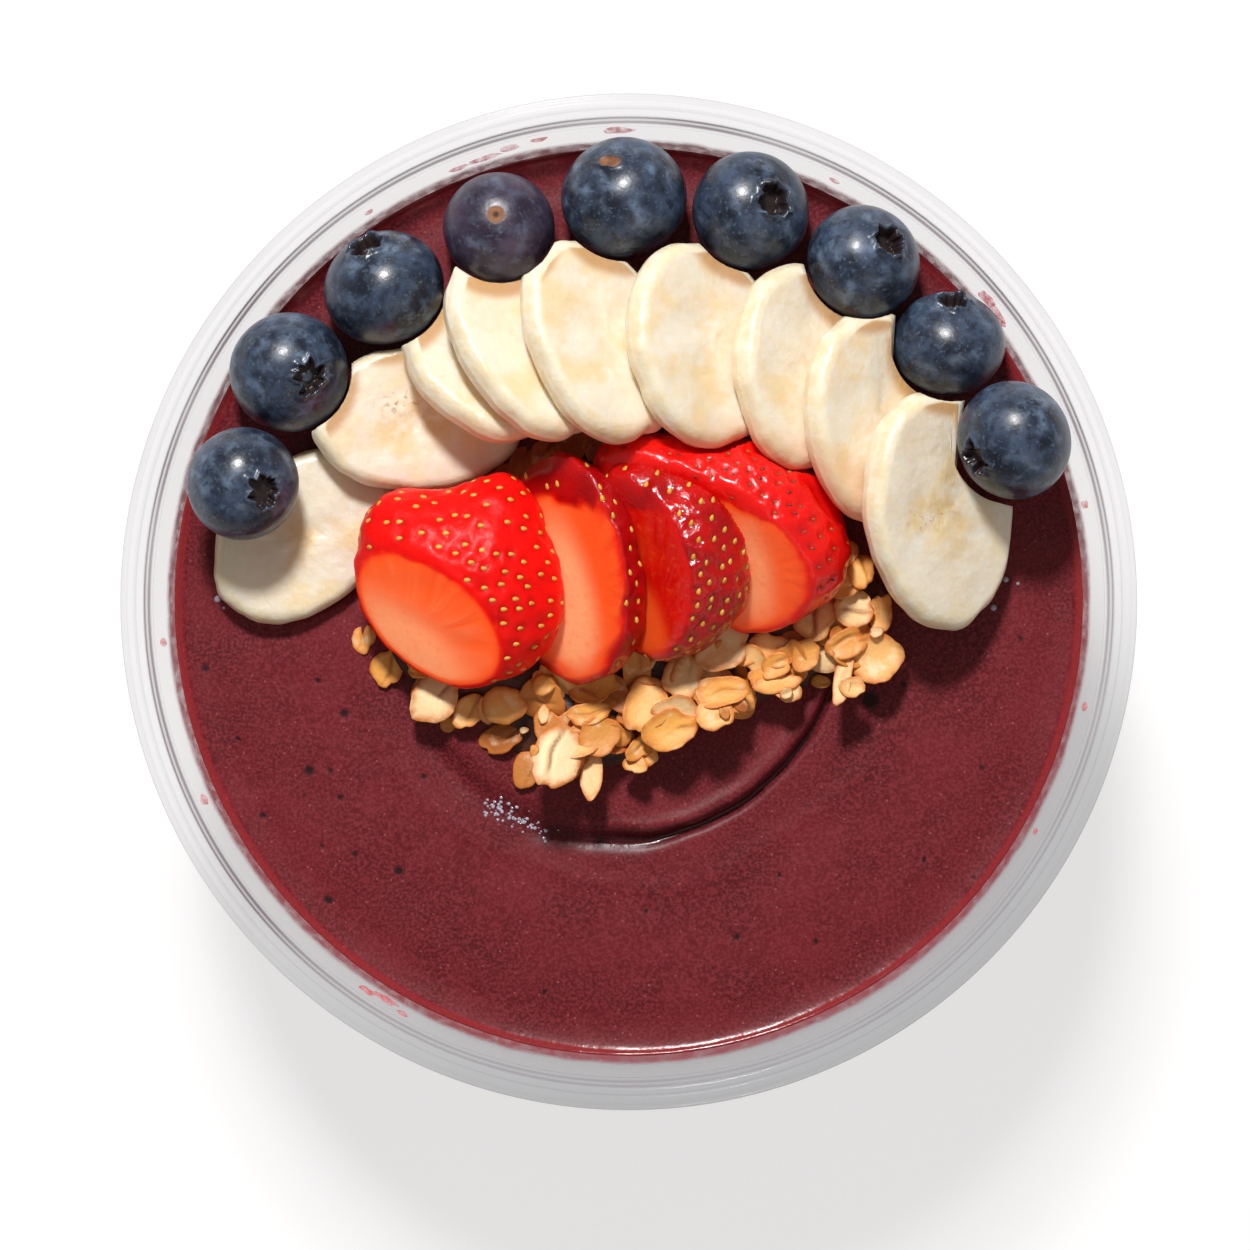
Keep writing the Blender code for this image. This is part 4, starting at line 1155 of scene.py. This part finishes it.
class Pile:
    """Oat flakes laid one on another: the pile's top and what lies over it, on a fine grid."""

    CELL = 0.3
    HALF_X = 46.0
    HALF_Y = 34.0

    def __init__(self, dice):
        self.dice = dice
        self.shell = Shell()
        self.columns = int(2 * self.HALF_X / self.CELL)
        self.lines = int(2 * self.HALF_Y / self.CELL)
        self.top = numpy.zeros((self.lines, self.columns))
        self.ceiling = numpy.full((self.lines, self.columns), NOTHING_ABOVE)
        toppings = tree_over(("banana", "strawberry", "blueberry"))
        for i in range(self.lines):
            for j in range(self.columns):
                x, y = self.middle_of(i, j)
                height, share = mound_height(x, y)
                self.top[i, j] = height - 0.6 if share < 0.97 else acai_height(x, y)
                hit = ray_up(toppings, x, y)
                if hit[0] is not None:
                    self.ceiling[i, j] = hit[0].z / MM

    def middle_of(self, i, j):
        return -self.HALF_X + (j + 0.5) * self.CELL, -self.HALF_Y + (i + 0.5) * self.CELL

    def cell_of(self, x, y):
        return int((y + self.HALF_Y) / self.CELL), int((x + self.HALF_X) / self.CELL)

    def settle(self, x, y, half_length, half_width, bearing, tone, lean, tilt, thickness, hold, sink):
        """Lays one flake on the pile, unless it would run into a topping."""
        dice = self.dice
        turn = compass(bearing)
        across = compass(bearing + 90)
        rise = compass(lean) * tan(radians(tilt))
        seed = dice.uniform(0, 90)
        cup = dice.uniform(-0.16, 0.34) / half_width
        bend = dice.uniform(-0.26, 0.16) / half_length
        fold = dice.uniform(-0.3, 0.3) * half_width
        fold_depth = dice.choice((0.0, 0.2, 0.32, 0.45)) * min(1.0, half_width / 2.2)
        fold_end = dice.uniform(-0.9, 0.3) * half_length
        fold_lift = dice.uniform(-1.1, 1.1) * fold_depth
        notch = dice.uniform(0, tau)

        def lift(spot, u, v):
            """How far the flake rises at a point by its tilt, its cup and its bend."""
            return rise.x * spot.x + rise.y * spot.y + cup * v * v + bend * u * u

        samples = []
        for share in (0.35, 0.7, 1.0):
            for a in around(14):
                u = half_length * share * cos(a)
                v = half_width * share * sin(a)
                spot = turn * u + across * v
                i, j = self.cell_of(x + spot.x, y + spot.y)
                if not (0 <= i < self.lines and 0 <= j < self.columns):
                    return False
                samples.append((i, j, lift(spot, u, v)))
        # it rests on the fifth highest of the points under it
        level = sorted(self.top[i, j] - offset for i, j, offset in samples)[-5] + thickness / 2 - sink
        hits = [level + offset + thickness / 2 > self.ceiling[i, j] for i, j, offset in samples]
        if sum(hits) > hold * len(samples) or level > HIGHEST_FLAKE:
            return False
        # painted shade: flakes lower in the pile get a browner tone
        depth = 0.4 * (1 - smooth(50.0, 54.5, level)) if half_length < 4.6 else 0.0
        count, tops = (36, 10) if half_length > 1.9 else (20, 4)
        steps = [(0.96 * k / tops, 1.0) for k in range(tops)] + FLAKE_EDGE
        for index, (share, side) in enumerate(steps):
            upper = index < tops + 2
            for a in self.shell.ring(count if share else 1):
                lobes = 0.2 * rough(cos(a), sin(a), seed, 1.0) + 0.07 * rough(cos(a), sin(a), seed, 0.33)
                lobes += 0.07 * abs(sin(1.5 * a + seed)) - 0.04
                ragged = 1 + lobes - 0.2 * bell((a - notch + pi) % tau - pi, 0.3)
                u = half_length * share * ragged * cos(a)
                v = half_width * share * ragged * sin(a)
                spot = turn * u + across * v
                z = level + side * thickness / 2 + lift(spot, u, v) + 0.34 * rough(u, v, seed, 4.5)
                crease = 0.0
                if upper:
                    away = (v - fold - 0.25 * sin(u * 1.1 + seed)) / 0.3
                    crease = bell(away, 1) * smooth(fold_end - 1, fold_end + 1, u)
                    z += fold_lift * smooth(-1, 1, away) - fold_depth * crease
                    z += 0.1 * rough(u, v, seed, 2.4) + 0.03 * rough(u, v, seed, 0.7)
                self.shell.add(
                    (x + spot.x, y + spot.y, z), tone=min(1.0, tone + depth),
                    crease=min(1.0, 1.6 * fold_depth) * crease, rim=smooth(0.62, 1.0, share),
                )
        self.shell.close()
        reach = int(half_length / self.CELL) + 2
        middle_i, middle_j = self.cell_of(x, y)
        for i in range(max(0, middle_i - reach), min(self.lines, middle_i + reach + 1)):
            for j in range(max(0, middle_j - reach), min(self.columns, middle_j + reach + 1)):
                here_x, here_y = self.middle_of(i, j)
                off = Vector((here_x - x, here_y - y, 0))
                u = off.dot(turn)
                v = off.dot(across)
                if (u / half_length) ** 2 + (v / half_width) ** 2 < 0.92:
                    self.top[i, j] = max(self.top[i, j], level + thickness / 2 + lift(off, u, v))
        return True


def make_granola():
    dice = random.Random(11)
    make_core()
    pile = Pile(dice)
    # a bed of small and middling flakes first, then those that are seen one by one, then crumbs
    laid = 0
    for attempt in range(BED_TRIES):
        if laid == BED_FLAKES:
            break
        angle = dice.uniform(0, tau)
        share = sqrt(dice.random())
        rim = mound_reach(angle)
        half_length = dice.uniform(2.4, 4.4)
        x, y = on_mound(angle, min(rim * share, rim - half_length * 0.75))
        tilt = dice.uniform(12, 48) * (1 - 0.5 * share)
        half_width = half_length * dice.uniform(0.55, 0.9)
        bearing = dice.uniform(0, 180)
        tone = dice.random() ** 0.8
        lean = dice.uniform(0, 360)
        laid += pile.settle(
            x, y, half_length, half_width, bearing, tone, lean, tilt, dice.uniform(0.6, 0.85), 0.1, 0.7
        )
    for x, y, half_length, half_width, bearing, tone in FLAKES + BACK_FLAKES:
        lean = dice.uniform(225, 335)
        pile.settle(x, y, half_length, half_width, bearing, tone, lean, dice.uniform(4, 24), 0.75, 0.5, 0.6)
    for i in range(CRUMBS):
        angle = dice.uniform(0, tau)
        x, y = on_mound(angle, mound_reach(angle) * dice.uniform(0.86, 1.0))
        size = dice.uniform(0.6, 1.2)
        pile.settle(x, y, size, size * 0.75, dice.uniform(0, 180), dice.random(), 0, 0, 0.8, 0.0, 0.1)
    flakes = pile.shell.build("granola_flakes", granola_look("granola", False))
    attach(flakes, "root")


# The studio

def add_light(name, direction, distance, size, power, colour):
    data = bpy.data.lights.new(name, "AREA")
    data.shape = "DISK"
    data.size = size
    data.energy = power
    data.color = colour
    lamp = bpy.data.objects.new(name, data)
    way = Vector(direction).normalized()
    lamp.location = way * distance + Vector((0, 0, BOWL_HEIGHT * MM))
    lamp.rotation_euler = way.to_track_quat("Z", "Y").to_euler()
    bpy.context.collection.objects.link(lamp)


def make_studio():
    bpy.ops.mesh.primitive_plane_add(size=4.0, location=(0, 0, -0.0004))
    floor = bpy.context.object
    floor.name = "floor"
    look = Look("paper", roughness=0.9, Specular_IOR_Level=0.1)
    look.colour(look.mix(look.noise(40, 2), srgb(172, 172, 173), srgb(166, 166, 168)))
    look.glow((1, 1, 1, 1), 0.66)
    floor.data.materials.append(look.material)

    world = bpy.data.worlds.new("studio")
    world.use_nodes = True
    background = world.node_tree.nodes["Background"]
    background.inputs["Color"].default_value = (1.0, 0.96, 0.92, 1.0)
    background.inputs["Strength"].default_value = 0.2
    bpy.context.scene.world = world
    add_light("key", (-0.13, 0.76, 1.0), 1.3, 0.2, 17.2, (1.0, 0.985, 0.965))
    add_light("fill", (0.5, -0.8, 1.1), 1.4, 1.0, 1.6, (1.0, 0.88, 0.74))

    data = bpy.data.cameras.new("camera")
    data.sensor_width = 36
    data.lens = 36 * CAMERA_DISTANCE / FRAME_WIDTH
    data.shift_x = SHIFT_X
    data.shift_y = SHIFT_Y
    data.clip_start = 0.05
    camera = bpy.data.objects.new("camera", data)
    camera.location = (0, 0, (BOWL_HEIGHT + CAMERA_DISTANCE) * MM)
    bpy.context.collection.objects.link(camera)
    bpy.context.scene.camera = camera
    bpy.context.scene.view_settings.view_transform = "Standard"


make_bowl()
make_film()
make_splashes()
make_acai()
make_bubbles()
make_berries()
make_bananas()
make_strawberries()
make_granola()
make_studio()

bpy.context.view_layer.update()
